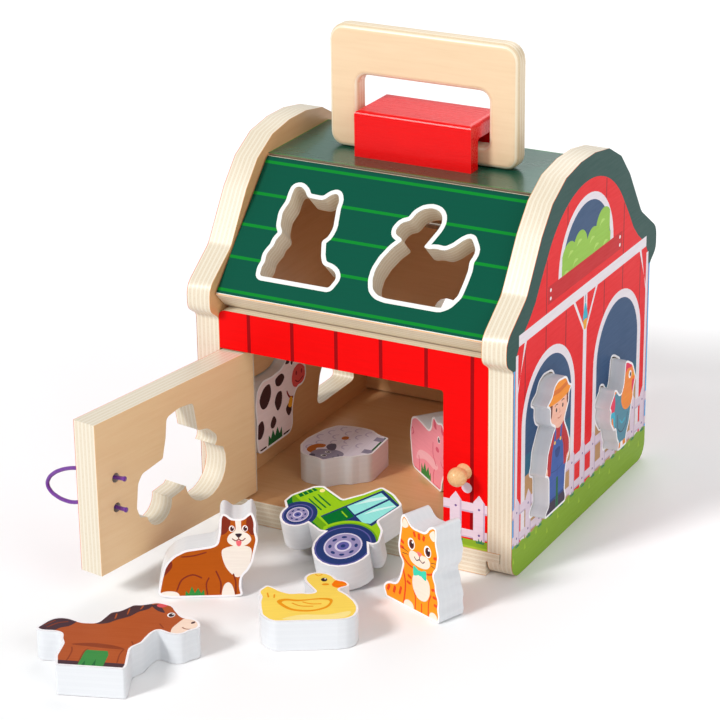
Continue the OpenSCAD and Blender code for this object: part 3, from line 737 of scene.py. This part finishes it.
def gableArt():
    half, eaves = gable["line"] / 2, gable["eaves"]
    crown = arc(0, gable["crown"], gable["radius"], range(34, 147, 4))
    art = ["slate", box(-120, 125.5, 120, 230),
           "gableRed", eaves + crown + [(-x, z) for x, z in eaves[::-1]],
           "gableLine", *[box(x - half, 12, x + half, gableLineTop(x)) for x in gable["lines"]]]
    # the loft window and the bushes behind it
    art += ["trim", arch(-38.5, 38.5, 146, 160, 198),
            "night", arch(-34, 34, 146, 160, 193.6), "bush"]
    for x, z, r in ((-24, 166, 11), (-9, 169, 10), (9, 166, 9.5), (24, 171, 11.5)):
        art.append([p for p in disc(x, z, r, r * 1.05) if abs(p[0]) < 34])
    art += [box(-34, 146, 34, 166), "bushLight"]
    for x, z in ((-22, 170), (-10, 173), (8, 169), (22, 175), (14, 163), (-15, 163), (-28, 160),
                 (27, 161)):
        art.append(blob(x - 4, z - 2, x - 1, z + 1.6, x + 3.4, z + 0.6, x + 1, z - 0.2, x - 1.6,
                        z - 0.6))
    art += ["gableRed", box(-39.5, 138, 39.5, 150.2), "beamRed", box(-52, 149.6, 52, 160),
            "white", *[disc(s * 48.5, z, 1.1, count=12) for s in (-1, 1) for z in (152.3, 157.2)]]
    # beams, post and braces
    art += ["trim", box(-89.5, 138.3, 89.5, 144.8), box(-2.4, 20, 2.4, 139),
            *mirrored(2, 116.5, 2, 120, 14.5, 138.6, 17.2, 138.6),
            *mirrored(90.5, 109.5, 90.5, 113.3, 79.2, 138.6, 82, 138.6),
            *onBothSides(90.2, 93.2, 12, 134), "sky", *onBothSides(93.9, 97, 12, 126)]
    # a little hanging lantern
    art += ["night", stroke(0.8, 0, 138, 0, 133.5),
            "plume", blob(-3.4, 124, 0, 133.6, 3.4, 124, 0, 122.6),
            "bell", blob(-2.4, 122.8, 2.4, 122.8, 1.4, 117.6, -1.4, 117.6)]
    # the two doorways
    for x0, x1 in ((-85, -13), (13, 84)):
        left, right = x0 + 5, x1 - 5
        art += ["trim", arch(x0, x1, 12, 87, 123.5), "night", arch(left, right, 12, 87, 118.4),
                "nightLow", box(left, 56, right, 70), "straw", box(left, 12, right, 57.5)]
    posts = [-90 + 15 * k for k in range(13)]
    return art + fence(-97, 97, posts, 17) + lawn(-97, 97, 19.6, posts)


rims = {"hole": [("white", "holes", 1.3)], "roofHole": [("roofEdge", "holes", 2.7)],
        "top": [("roofStripe", "outer", 0.9)], "block": [("white", "outer", 1.25)]}
printFace("frontWallPrint", "front_wall", frontArt(), "red")
printFace("doorPrint", "front_door", doorArt(), "red", rims["hole"])
printFace("gableRightPrint", "gable_right", gableArt(), "gableRed", rims["hole"])
printFace("gableLeftPrint", "gable_left", gableArt(), "gableRed", rims["hole"])
printFace("backWallPrint", "back_wall", backArt(), "red", rims["hole"])
printFace("flapPrint", "roof_flap", roofArt(), "roof", rims["roofHole"], gloss=0.08)
printFace("roofBackPrint", "roof_back", roofArt(), "roof", rims["roofHole"],
          gloss=0.08)
printFace("roofTopPrint", "roof_top", [], "roof", rims["top"], gloss=0.6)


flapLip = {"radius": 2.5, "painted": 36, "thick": 0.15, "proud": 0.05, "steps": 8}  # mm, degrees


def addFlapLip():
    # the roof paint runs part of the way over the flap's rounded top edge
    matrix, radius, steps = boards["roof_flap"][0], flapLip["radius"], flapLip["steps"]
    half = max(abs(v.co.x) for v in nodes["roof_flap"].data.vertices) * 1000 - 0.05
    places = []
    for x in (-half, half):
        for r in (radius + flapLip["proud"], radius - flapLip["thick"]):
            for k in range(steps + 1):
                a = radians(90 - flapLip["painted"] * k / steps)
                places.append((x, r * cos(a) - radius, r * sin(a) - radius))
    n = steps + 1
    faces = [[k, k + 2 * n, k + 1 + 2 * n, k + 1] for k in range(steps)]
    faces += [[k + n, k + 1 + n, k + 1 + 3 * n, k + 3 * n] for k in range(steps)]
    faces += [[0, n, 3 * n, 2 * n], [steps, steps + 2 * n, steps + 3 * n, steps + n]]
    faces += [[*range(n), *range(2 * n - 1, n - 1, -1)],
              [*range(3 * n, 4 * n), *range(3 * n - 1, 2 * n - 1, -1)]]
    piece = makePiece("flapLip", [matrix @ Vector(p) / 1000 for p in places], faces,
                      inkMade["roofOnflapPrint"])
    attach(piece, nodes["roof_flap"]["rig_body"])


addFlapLip()
print("stage: barn printed")


def eye(x, y, size, colour="brown"):
    return ["eyeWhite", disc(x, y, 2.5 * size, 3.1 * size),
            colour, disc(x + 0.2 * size, y - 0.1, 1.8 * size, 2.4 * size),
            "ink", disc(x + 0.3 * size, y - 0.2 * size, 1.1 * size, 1.6 * size, count=16),
            "eyeWhite", disc(x + 0.9 * size, y + 1.1 * size, 0.6 * size, count=10)]


def wheel(x, y, r):
    bolts = []
    for k in range(8):
        a = radians(45 * k + 10)
        bolts.append(disc(x + r * 0.42 * cos(a), y + r * 0.42 * sin(a), r * 0.09,
                          r * 0.055, degrees(a) + 90, 12))
    return ["tyre", disc(x, y, r + 1, count=44), "tread", disc(x, y, r - 1.5, count=40),
            "tyre", disc(x, y, r - 2.3, count=40), "hubLight", disc(x, y, r * 0.62, count=34),
            "hub", disc(x, y, r * 0.57, count=34), "tyre", *bolts, "hubLight", disc(x, y, r * 0.27),
            "tread", disc(x, y, r * 0.2), "tyre", disc(x, y, r * 0.08, count=12)]


def printBlock(animal, *art):  # its picture in mm: an ink fills the outlines that follow it
    for side, label in ((1, "Front"), (-1, "Back")):
        printFace(animal + label + "Print", "block_" + animal, art, "white",
                  rims["block"], side)


printBlock("cat",
    "cat", box(-30, -10, 80, 80), "catStripe", stroke(1.2, 13.8, 0, 15.5, 12, 13.6, 21),
    *strokes(0.9, (34, -1.2, 34.4, 8, 36.4, 13), (23.4, -1.2, 23.6, 7, 22.4, 11),
        (28.6, -1.2, 28.6, 5)),
    "cream", blob(21.5, 13, 22, 20, 28, 23.5, 34.5, 20, 35, 12.5, 31.5, 7.5, 25.5, 7.5),
    "catStripe", *strokes(1.7, (17.4, 18.6, 20, 17.6), (16.6, 14.4, 19.4, 13.8),
        (39.6, 17.2, 37, 16.6), (41, 12.6, 38, 12.6), (41.6, 8, 39, 8.2)),
    *strokes(2, (0.5, 3, 2, 6.4), (5.6, 3.2, 6.8, 7.2)), stroke(1.8, 10.4, 4, 11.8, 8.8),
    "cream", blob(14.5, -1, 14.8, 2, 18, 3.4, 21.4, 2, 21.6, -1),
    blob(35.2, -1, 35.6, 2.2, 38.6, 3.2, 41, 1.6, 41, -1),
    "catStripe", stroke(1.1, 12.6, 29.4, 18, 25.2, 27, 23.9, 36, 25.4, 40.2, 30),
    "cream", blob(13, 46.5, 14.6, 51.6, 18.2, 48.8, 16, 46.2),
    blob(39.4, 46.6, 38.9, 52.4, 35.2, 49.2, 37, 46.4),
    "catStripe", stroke(2.2, 26.6, 46.6, 26.8, 43.4),
    *strokes(1.9, (22.4, 46.4, 23.4, 43.8), (31, 46.6, 30.2, 43.8)),
    *strokes(1.8, (11.4, 37.6, 14, 36.6), (41, 36.8, 38.8, 36), (11.2, 33.6, 14, 33.6)),
    *eye(20.4, 38.2, 1.15), *eye(33.6, 38.2, 1.15),
    "cream", blob(18.5, 31, 20.5, 34.4, 27, 34.2, 33.5, 34.4, 35.6, 31, 33, 27.6, 27, 26.4, 21,
        27.6),
    "pinkNose", blob(25, 35.2, 29, 35.2, 27, 32.7),
    "ink", *strokes(0.6, (27, 32.8, 27, 31),
        (22.8, 31.4, 24.6, 29.9, 27, 31, 29.4, 29.9, 31.2, 31.4)),
    *strokes(0.4, (18, 32.4, 13, 33.4), (18, 31, 13.2, 30.4), (36, 32.4, 40.4, 33.4),
        (36, 31, 40, 30.2)),
    "bow", blob(27.4, 23, 22.6, 26, 21.8, 23, 22.6, 20), blob(27, 23, 31.8, 26, 32.6, 23, 31.8, 20),
    disc(27.2, 23, 1.7),
)
printBlock("duck",
    "duck", box(-30, -10, 80, 80),
    "duckPale", blob(4, 3, 14, 7, 28, 6.4, 40, 9.6, 38, 3.6, 30, 1.6, 12, 1.4),
    "wing", blob(3, 19, 9, 12.4, 19, 10.4, 27.6, 13.8, 31, 20, 30.6, 24.4, 25, 25.6, 14, 24.4, 6,
        26, 1.6, 24),
    "duck", blob(5, 19.8, 10, 14.2, 19, 12.2, 26.6, 15.2, 29.6, 20.2, 28.4, 23.2, 22, 24, 13, 22.6,
        7, 23.8, 4.2, 22.6),
    "wing", *strokes(1, (9.4, 20.8, 14, 17.2, 20.6, 16.4), (15, 21.8, 19.6, 19.2, 25, 19)),
    *strokes(0.9, (-3.6, 33.6, -3, 28.4), (0.2, 31.6, 0, 27.6)),
    "beak", blob(32.2, 43.6, 33.8, 46, 37.6, 45.2, 40.2, 41.8, 39.8, 39.2, 35, 37, 32.4, 38.4, 31.4,
        41),
    "wing", stroke(0.6, 33, 40.6, 36.4, 41, 39.8, 40.4), "ink", disc(27.4, 47.2, 1.7, 2.2),
    "eyeWhite", disc(28, 48.2, 0.6, count=10), "wing", disc(28, 41.6, 2, 1.2),
    stroke(0.7, 22.8, 54, 24.4, 52, 26.6, 53.6),
)
fender = range(34, 180, 8)  # degrees
printBlock("tractor",
    "lime", box(-60, -30, 90, 90), "limeDark", stroke(1.6, -14, 33.4, 5.2, 36),
    shape(-19, 9, 32, 9, 32, 19.6, -18, 17),
    "tractorGreen", shape(-19, 4, 30, 4, 30, 15, -12, 13.4, -16, 15.4),
    shape(-15.8, 19, -12.6, 19, -11.6, 30, -15, 29),
    "lime", *strokes(0.6, (-15.8, 21.6, -12.6, 21.8), (-15.6, 24.4, -12.2, 24.6),
        (-15.4, 27.2, -12, 27.6)),
    "tractorGreen", *strokes(1, (-8.5, 22, 5, 23), (-8.3, 25, 5, 26), (-8.1, 28, 5, 29)),
    "lamp", disc(-9.6, 31.8, 1.6),
    "tyre", shape(9.6, 20, 12.4, 59.6, 31.6, 60.2, 36.8, 34, 30, 26, 22, 20),
    "glass", shape(12, 36, 13.9, 57.4, 21, 57.8, 21, 36),
    shape(22.6, 36, 22.6, 57.8, 30, 58.2, 33.6, 39, 30, 36),
    "glassLight", shape(13.4, 40, 14.3, 50, 18.4, 57.6, 20.4, 57.7),
    shape(24, 40, 24, 47, 28.4, 57.9, 29.4, 57.9), "lime", shape(7, 59.4, 36, 60.2, 36, 70, 7, 70),
    "limeDark", stroke(0.7, 9, 60.2, 32, 60.8),
    "tractorGreen", shape(10.6, 20, 11.8, 35, 22, 35, 22, 20),
    "lime", stroke(0.8, 13.6, 31.5, 20, 31.5),
    arc(*bigWheel[:2], 21.5, range(30, 190, 8)) + [(30, 10), (50, 10)],
    "limeDark", arc(*bigWheel[:2], 19.6, fender) + arc(*bigWheel[:2], 18.2, fender[::-1]),
    *wheel(*bigWheel), *wheel(0, 10.4, 10.4),
)
printBlock("horse",
    "horse", box(-40, -20, 90, 100),
    "horseDark", blob(4, 22, 14, 24.6, 26, 23.4, 33, 20, 26, 19.6, 14, 20.6),
    "mane", blob(-21, 36.4, -18, 43, -13.6, 49.6, -6, 51.6, 0.5, 48.6, -1.6, 42, -6.4, 38.8, -10,
        34.4, -16, 33.6),
    "horseDark", stroke(0.8, -13.5, 38.6, -9, 44, -4, 46), stroke(0.7, -15.4, 41, -11, 46.6),
    "mane", blob(11, 46, 13.4, 54, 15, 61, 21, 63.6, 26, 71, 31, 71.4, 36, 71, 35.4, 66, 30.6, 61.6,
        27, 56, 21, 51, 17, 47),
    "horse", *strokes(0.8, (20, 52.6, 19.6, 58), (25.4, 58, 25, 64.6), (31, 64.6, 31.6, 69)),
    "mane", blob(36, 70, 39.6, 71.4, 42.6, 66.8, 44.6, 62.4, 41, 63.8, 38.2, 66.4),
    "ear", blob(38.6, 70.6, 41.8, 73.6, 44.6, 72.2, 43.2, 68.8, 40.4, 68.2),
    "muzzle", blob(53.6, 39, 52.2, 45, 53.8, 51.2, 57, 57.8, 63, 57.4, 67.6, 51, 66, 45.4, 60.6,
        38.6),
    "mane", disc(62, 53.4, 0.9, 1.5, -30),
    "horseDark", stroke(0.7, 64.4, 46.4, 60, 45.8, 57.4, 47.4), *eye(48.6, 60.4, 0.85, "ink"),
    "horseDark", stroke(0.8, 44.6, 50, 47.6, 45.6),
    "leaf", shape(12.6, -3, 12.4, 13.6, 13.6, 17, 24.6, 17, 26, 13, 26, -3),
    "leafDark", shape(14, -3, 15.4, 6, 17, -3), shape(19.6, -3, 20.6, 8, 22.4, -3),
    "mane", box(-4, -3, 12.6, 4.6), box(26, -3, 40, 4.8),
    "horseDark", *strokes(0.8, (6, 4.6, 6.2, 14, 5, 19), (32.4, 4.8, 31.6, 14, 32.4, 19.6),
        (12.4, 4, 12.6, 15, 14, 18)),
    stroke(0.7, 34.4, 29, 36.6, 24.6),
)
printBlock("dog",
    "dog", box(-30, -20, 80, 80),
    "dogWhite", blob(28.4, 27.6, 31, 30.2, 38, 31.4, 44.6, 29.4, 43.8, 21, 41, 15.6, 37, 12, 33,
        14.6, 29.8, 20),
    blob(28, -2, 28.6, 6, 31.4, 9, 34, 6, 34.6, -2), blob(-8, -2, -7, 2.4, -2, 4.2, 3.6, 3, 4, -2),
    "dogDark", *strokes(0.9, (27, 2, 27.4, 9, 25, 16), (35.4, 1, 35.6, 9, 34.4, 14)),
    stroke(0.8, 20, 1, 19.4, 8, 21, 12), stroke(0.9, 3, 4, 6, 11, 12, 14, 17, 12),
    blob(-8, 9, -3, 14, 1, 19, 0, 23.6, -5, 19), stroke(0.8, 6, 25, 13, 25.6, 20, 27.6),
    "leaf", shape(7, -3, 8, 4.4, 9.6, 2.4, 11.4, 7, 13, 2.8, 14.8, 6, 16.4, 2.6, 18, 5, 18.6, -3),
    "dogDark", blob(27, 50.8, 27, 42, 28.4, 38, 32, 40, 33.8, 46, 31.4, 51.4),
    blob(42.8, 47.6, 42.6, 42.4, 45, 37.6, 48.6, 39.4, 48.6, 46, 45.6, 51.8),
    "dogWhite", blob(36.4, 48, 36.4, 41, 32.6, 37.6, 31.8, 34, 34.6, 31.4, 38.6, 30.8, 42.4, 31.8,
        44.8, 34.6, 43.6, 37.8, 39.8, 41, 39.4, 48),
    *eye(34.4, 41.6, 0.62), *eye(41.6, 41.6, 0.62),
    "ink", blob(36.2, 38.4, 39.8, 38.4, 38.6, 36.4, 37.4, 36.4),
    "dogDark", *strokes(0.6, (38, 36.4, 38, 35),
        (34.4, 35.6, 36.4, 34.2, 38, 35.1, 39.8, 34.2, 41.6, 35.6)),
    "tongue", blob(36.7, 34.1, 39.3, 34.1, 39.2, 31.8, 38, 30.8, 36.8, 31.8),
)
curls = ((4, 35), (12, 38), (20, 34), (27, 29), (7, 27), (15, 29), (22, 24), (3, 18), (11, 20),
         (19, 16), (28, 20), (8, 11), (25, 12), (-4, 38))


def curl(x, y):
    return stroke(0.9, x - 3, y, x - 1.6, y + 2.4, x + 1.4, y + 2.6, x + 3, y + 0.4)


printBlock("sheep",
    "wool", box(-40, -20, 60, 70),
    "woolLine", *[curl(x, y) for x, y in curls],
    "straps", blob(-12, 33.6, -9, 38.4, -3, 38.8, 1.6, 35.6, 2, 31, -2, 30.6, -4.4, 34, -8.4, 33),
    "face", blob(-19, 23.6, -15, 19.6, -11.4, 15.6, -6.6, 15.6, -3.4, 20, -3.4, 27, -6, 32.6, -11,
        34.6, -15.4, 32, -17.6, 28),
    "earGrey", blob(-4.6, 25.4, -1.4, 29.2, 3.4, 29.4, 5, 26, 0.8, 23.6, -3.4, 23),
    blob(-17.4, 30, -16.6, 33, -13.4, 34.4, -13, 31.4), *eye(-12.6, 25.8, 0.6, "ink"),
    *eye(-7.4, 25.4, 0.6, "ink"), "earGrey", disc(-13.2, 19.6, 1, 0.7),
    stroke(0.6, -13.4, 18.4, -11, 17.4, -8.4, 18.6), "leafDark", box(-30, -3, 40, 2.6),
    "face", box(-1, -3, 4.4, 7), box(17.4, -3, 23, 7), "earGrey", box(-1, -3, 4.4, 1.6),
    box(17.4, -3, 23, 1.6), "straps", disc(15, 24, 2.6, 2.2),
)
printBlock("pig",
    "pig", box(-30, -20, 80, 80), "pigPale", blob(6, 8, 18, 12, 32, 11, 36, 15, 24, 17.6, 10, 15),
    "leaf", shape(12, -3, 13, 8, 15.4, 4.6, 17.6, 10, 20, 5, 22.6, 9, 24.6, 4, 26, 7, 26.6, -3),
    "pigDark", *strokes(0.9, (9.6, -1, 10, 7, 9, 11), (30, -1, 30, 7, 31.4, 11)),
    box(-3, -3, 9.6, 2), box(30, -3, 44, 2), stroke(1, -2.4, 22, -0.6, 25.6, 1.8, 23.6, 0, 21.4),
    stroke(0.9, 29.4, 28, 29.6, 20, 34, 14.4), blob(30.6, 38.6, 31.4, 43, 34, 40.6, 34.2, 37.4),
    blob(40.8, 40, 43, 44, 44.4, 38.6, 42.4, 37.4), *eye(37.6, 32.4, 0.72, "ink"),
    *eye(45.6, 32, 0.72, "ink"),
    "pigDark", blob(43.4, 24, 46, 28.4, 51.6, 29.2, 55.8, 26.4, 55.2, 21.4, 50, 19.4, 45, 20.6),
    "pigPale", blob(44.8, 24, 47, 27, 51.6, 27.8, 54.4, 25.6, 54, 22.2, 50, 20.8, 46, 21.8),
    "snoutLine", disc(48, 24.4, 0.9, 1.4), disc(52, 24.6, 0.9, 1.4),
    "pigDark", stroke(0.8, 40, 19.6, 43, 17, 47.6, 17), disc(35.6, 25.4, 2.4, 1.6),
)
printBlock("cow",
    "hide", box(-30, -20, 90, 90),
    "spot", blob(5, 34, 10, 39.6, 17, 40, 18.4, 33, 13.4, 27, 7.6, 27.6),
    blob(22.6, 26, 26, 31, 31, 30, 30.6, 23, 26, 19.6),
    blob(24, 40.4, 31, 41.6, 34.6, 38, 30, 34.6, 25, 36),
    blob(2, 18, 7.6, 20, 9.6, 14, 6, 9.4, 1.6, 11),
    blob(17.4, 15, 21, 18, 24, 14, 21, 10.6, 17.6, 11.6),
    blob(35.6, 17, 40.6, 20, 43.4, 15.6, 39, 11.4),
    "leafDark", shape(13, -3, 14.6, 8, 17, 5, 19.6, 10, 22, 5, 25, 9.6, 27.4, 4.6, 30, 8, 31, -3),
    "spot", box(-3, -3, 11.6, 2.4), box(32, -3, 46, 2.4),
    blob(35.4, 46.6, 38.4, 52.6, 41.6, 50, 40.6, 45),
    "snout", blob(53, 45.6, 55.4, 49, 52.8, 51.6, 50.6, 48),
    "bell", blob(40.6, 54.4, 42.4, 58, 44.6, 54), blob(47.4, 53.4, 49.4, 56, 51, 52.4),
    *eye(43.6, 44.6, 0.8, "ink"), *eye(51.4, 43.4, 0.8, "ink"),
    "snout", blob(43.4, 33, 45.6, 38.6, 51.6, 40.4, 58, 37, 61.6, 31.4, 58.6, 27.4, 51.4, 26, 45.4,
        28),
    "snoutLine", disc(49, 35.4, 0.9, 1.4), disc(55.4, 34.6, 0.9, 1.4),
    stroke(0.8, 47.4, 31.2, 51.4, 29, 57, 30.4), stroke(1.4, 37, 28, 40, 23.4, 45, 21.4),
    "bell", blob(40, 22, 43, 22.4, 44.6, 17.4, 41.6, 16, 38.6, 17.8),
)
printBlock("rooster",
    "body", box(-40, -20, 40, 90),
    "comb", blob(-22, 30.6, -17, 38, -12.6, 38.6, -11, 33, -12.4, 27.4, -17, 27),
    "neck", disc(-11.8, 41.4, 3.4, 3),
    "plume", blob(-20, 27, -15, 28.6, -11, 26.6, -10.4, 20, -13, 14, -17.6, 16.6),
    "neck", stroke(2.2, -15, 24.6, -14, 19.6, -11.6, 15.6),
    blob(-0.8, 38, 1, 46, 3, 52, 10, 52.6, 17, 47.4, 20.6, 39, 18.2, 31.6, 16.4, 26.4, 9, 22.8, 2,
        24.8, -2, 31),
    "wing", *strokes(0.8, (3, 28.4, 4.4, 34), (8, 26.6, 8.8, 32), (13, 28, 12.8, 33)),
    "comb", blob(0, 49.6, 1.6, 56.4, 5, 53.2, 8.4, 55.4, 10.4, 51.4, 14.4, 51, 13, 47.6, 7, 48.4,
        3.6, 47),
    blob(14, 38.6, 16.6, 39.2, 18, 34.4, 16.4, 30.2, 13.8, 32.4),
    "beak", shape(14.4, 43.6, 21, 39.4, 14.6, 38.6), "bell", shape(14.4, 43.6, 21, 39.6, 14.4, 41),
    "eyeWhite", disc(10.6, 43.6, 2.1, 2.5), "ink", disc(11.2, 43.4, 1.1, 1.5, count=14),
    "bodyLine", stroke(0.9, -7, 24, -6, 15, 0, 11, 6, 14, 8, 20.6),
    "plume", stroke(1, -3.6, 20, 0, 16.6, 4.4, 18), "feet", box(-20, -3, 20, 4.6),
    "white", shape(-2.6, -3, -1.4, 4.8, 1.6, 4.8, 2.6, -3),
)
printBlock("farmer",
    "denim", box(-40, -20, 40, 100),
    "shirt", shape(-30, 24, -8.6, 24, -6.8, 37, -4.6, 43, 5.6, 43, 8.4, 37, 9.4, 24, 30, 24, 30, 52,
        -30, 52),
    "shirtDark", *strokes(0.7, (-9, 27, -8.6, 35, -7.2, 40), (10.2, 27, 10, 35, 8.8, 40)),
    "denim", shape(-4.6, 42.6, -3.6, 50.4, -1.6, 50.4, -1.8, 42.6),
    shape(3.2, 42.6, 4.8, 50.4, 6.8, 50.4, 5.8, 42.6), "button", disc(-3.1, 42, 1.1, count=14),
    disc(4.4, 42, 1.1, count=14),
    "denimDark", blob(-2.4, 37.6, 3.6, 37.6, 3.4, 33.6, 0.6, 32, -2.2, 33.6),
    stroke(0.6, -8, 25.6, 0.4, 24.4, 9, 25.6),
    "skin", blob(-19, 30.6, -13.4, 30.4, -12.2, 26.6, -14.4, 23, -19, 23),
    blob(19.6, 29, 14.2, 29, 12.6, 25.4, 14, 22, 19.6, 22.6),
    "denimDark", stroke(0.6, 0.6, 21, 0.6, 27),
    "leafDark", shape(-1.2, -3, -0.6, 20, 1.8, 20, 2.4, -3), "boot", box(-30, -3, -1.2, 7.4),
    box(2.4, -3, 30, 7.6), "denimDark", box(-14, 7.4, -0.8, 9), box(2.1, 7.6, 13, 9.2),
    "skin", box(-40, 51.2, 40, 100), blob(-3, 52, 2.6, 49.4, 8.4, 52),
    "hair", blob(-11.6, 58.6, -8, 59.6, -7.2, 64, -7.6, 69, -13, 69),
    blob(16.6, 60, 12.8, 60.6, 12, 64.6, 12, 69, 18, 69),
    "ink", disc(-1.8, 61.4, 0.95, 1.25, count=14), disc(6.8, 61.4, 0.95, 1.25, count=14),
    "hair", *strokes(0.6, (-3.8, 64.2, -1.8, 64.8, 0, 64.3), (5, 64.3, 6.8, 64.8, 8.8, 64.2)),
    "skinLine", stroke(0.55, 2.5, 61, 3.2, 58.8, 2.2, 58.6), stroke(0.75, 0, 56, 2.5, 55.3, 5, 56),
    "hat", blob(-18, 68.4, -10, 66.6, 2, 65.6, 14, 66.4, 22, 69.6, 15, 72.6, 12.6, 79.6, 2, 82, -8,
        79, -9.8, 72),
    "hatBand", shape(-9.4, 71.6, -8.6, 74.4, 2.6, 73.2, 13.6, 74.2, 14.8, 71.6, 2.6, 70.4),
)
print("stage: blocks printed")


loop = {"diameter": 2.3, "pitch": 17.8, "exit": (41.65, -96, 70.2), "colour": "802caa",
        "dark": "56187e", "rough": 0.62, "sheen": 0.3, "strands": 1500.0, "slack": 1.004}
bend = [(0, -8, 0), (0, -4, 0), (0, 0, 0), (0, 4, -0.3), (-0.2, 9, -1), (-0.5, 15, -2.3),
        (-0.9, 21.5, -4.4), (-1.2, 28, -7.4), (-1.4, 33.5, -11), (-1.5, 37.2, -15),
        (-1.5, 38.4, -18.8), (-1.4, 36.4, -22), (-1.2, 31.6, -24.1), (-1, 25, -24.9),
        (-0.7, 18, -24), (-0.4, 11.5, -21.6), (-0.1, 5.5, -19), (0, 0, -17.8), (0, -4, -17.8),
        (0, -8, -17.8)]
knotLook = {"radius": 1.2, "cord": 1.1, "from": -6.4, "deep": 3.6, "steps": 30,
            "cutEnd": ((-11.5, 0, 1.15), (-13.5, 0.1, 1.15), (-16, 0.4, 1.15), (-19, 0.8, 1.15),
                       (-20.6, 1, 1.2), (-21.4, 1.1, 1.5), (-21.9, 1.15, 1.45))}


def onDoor(p):  # along the door, away from its outer face, and height from the upper hole
    x, y, z = loop["exit"]
    return doorSwing @ Vector((x + p[0], y - p[1], z + p[2])) / 1000


def braid(name):
    made = bpy.data.materials.new(name)
    made.use_nodes = True
    tree = made.node_tree
    shader = tree.nodes["Principled BSDF"]
    place = put(tree, "TexCoord").outputs["Object"]
    cells = put(tree, "TexVoronoi", {"Vector": place, "Scale": loop["strands"]}).outputs["Distance"]
    tint = mixed(tree, ramp(tree, cells, 0.15, 0.6, 0.8), rgb(loop["colour"]), rgb(loop["dark"]))
    bump = put(tree, "Bump", {"Strength": 0.8, "Distance": 0.0002,
                              "Height": calc(tree, "SUBTRACT", 1.0, cells)})
    tree.links.new(tint, shader.inputs["Base Color"])
    tree.links.new(bump.outputs[0], shader.inputs["Normal"])
    shader.inputs["Roughness"].default_value = loop["rough"]
    shader.inputs["Sheen Weight"].default_value = loop["sheen"]
    return made


elastic = braid("purpleElastic")


def tube(name, path, radii, sides=14):
    places, faces = [], []
    turns = [2 * pi * s / sides for s in range(sides)]
    for k, p in enumerate(path):
        along = (path[min(k + 1, len(path) - 1)] - path[max(k - 1, 0)]).normalized()
        a = along.cross(Vector((0.3, 0.2, 0.93))).normalized()
        b = along.cross(a)
        places += [p + (a * cos(t) + b * sin(t)) * radii[k] for t in turns]
    for k in range(0, len(places) - sides, sides):
        for s in range(sides):
            after = (s + 1) % sides
            faces.append([k + s, k + after, k + sides + after, k + sides + s])
    faces += [list(range(sides))[::-1], [len(places) - sides + s for s in range(sides)]]
    piece = makePiece(name, places, faces, elastic)
    piece.data.shade_smooth()
    return piece


def knot(name, height, rise):
    # the cord winds once and a half round itself; its cut end sticks out of the door's inner side
    look, path, radii = knotLook, [], []
    for k in range(look["steps"] + 1):
        t = k / look["steps"]
        angle, r = t * 3 * pi, look["radius"] * sin(pi * min(1, t * 1.02))
        path.append((r * cos(angle), look["from"] - look["deep"] * t,
                     height + r * sin(angle)))
        radii.append(look["cord"])
    for y, z, r in look["cutEnd"]:  # it spreads a little
        path.append((0, y, height + z * rise))
        radii.append(r)
    piece = tube(name, [onDoor(p) for p in path], [r / 1000 for r in radii])
    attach(piece, "door")
    return piece


def addLoop():
    data = bpy.data.curves.new("elasticLoop", "CURVE")
    data.dimensions, data.bevel_depth = "3D", loop["diameter"] / 2000
    data.bevel_resolution, data.resolution_u, data.use_fill_caps = 4, 8, True
    spline = data.splines.new("BEZIER")
    spline.bezier_points.add(len(bend) - 1)
    path = [onDoor(p) for p in bend]
    for point, p in zip(spline.bezier_points, path):
        point.co = p
        point.handle_left_type = point.handle_right_type = "AUTO"
    data.materials.append(elastic)
    piece = bpy.data.objects.new("elasticLoop", data)
    scene.collection.objects.link(piece)
    knots = [knot("upperKnot", 0, 1), knot("lowerKnot", -loop["pitch"], 0.3)]
    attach(piece, "door")
    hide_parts("door_loop")


addLoop()
print("stage: loop made")


paper = {"half": 6, "z": -0.0003, "colour": "fafafa", "second": "f6f6f7"}


def addFloor():
    corners = [(x, y, paper["z"]) for x, y in box(*[-paper["half"]] * 2, *[paper["half"]] * 2)]
    made = film("studioPaper", paper["colour"], paper["second"], 0.1, 0.2, 0.6)
    makePiece("studioFloor", corners, [(0, 1, 2, 3)], made)


addFloor()
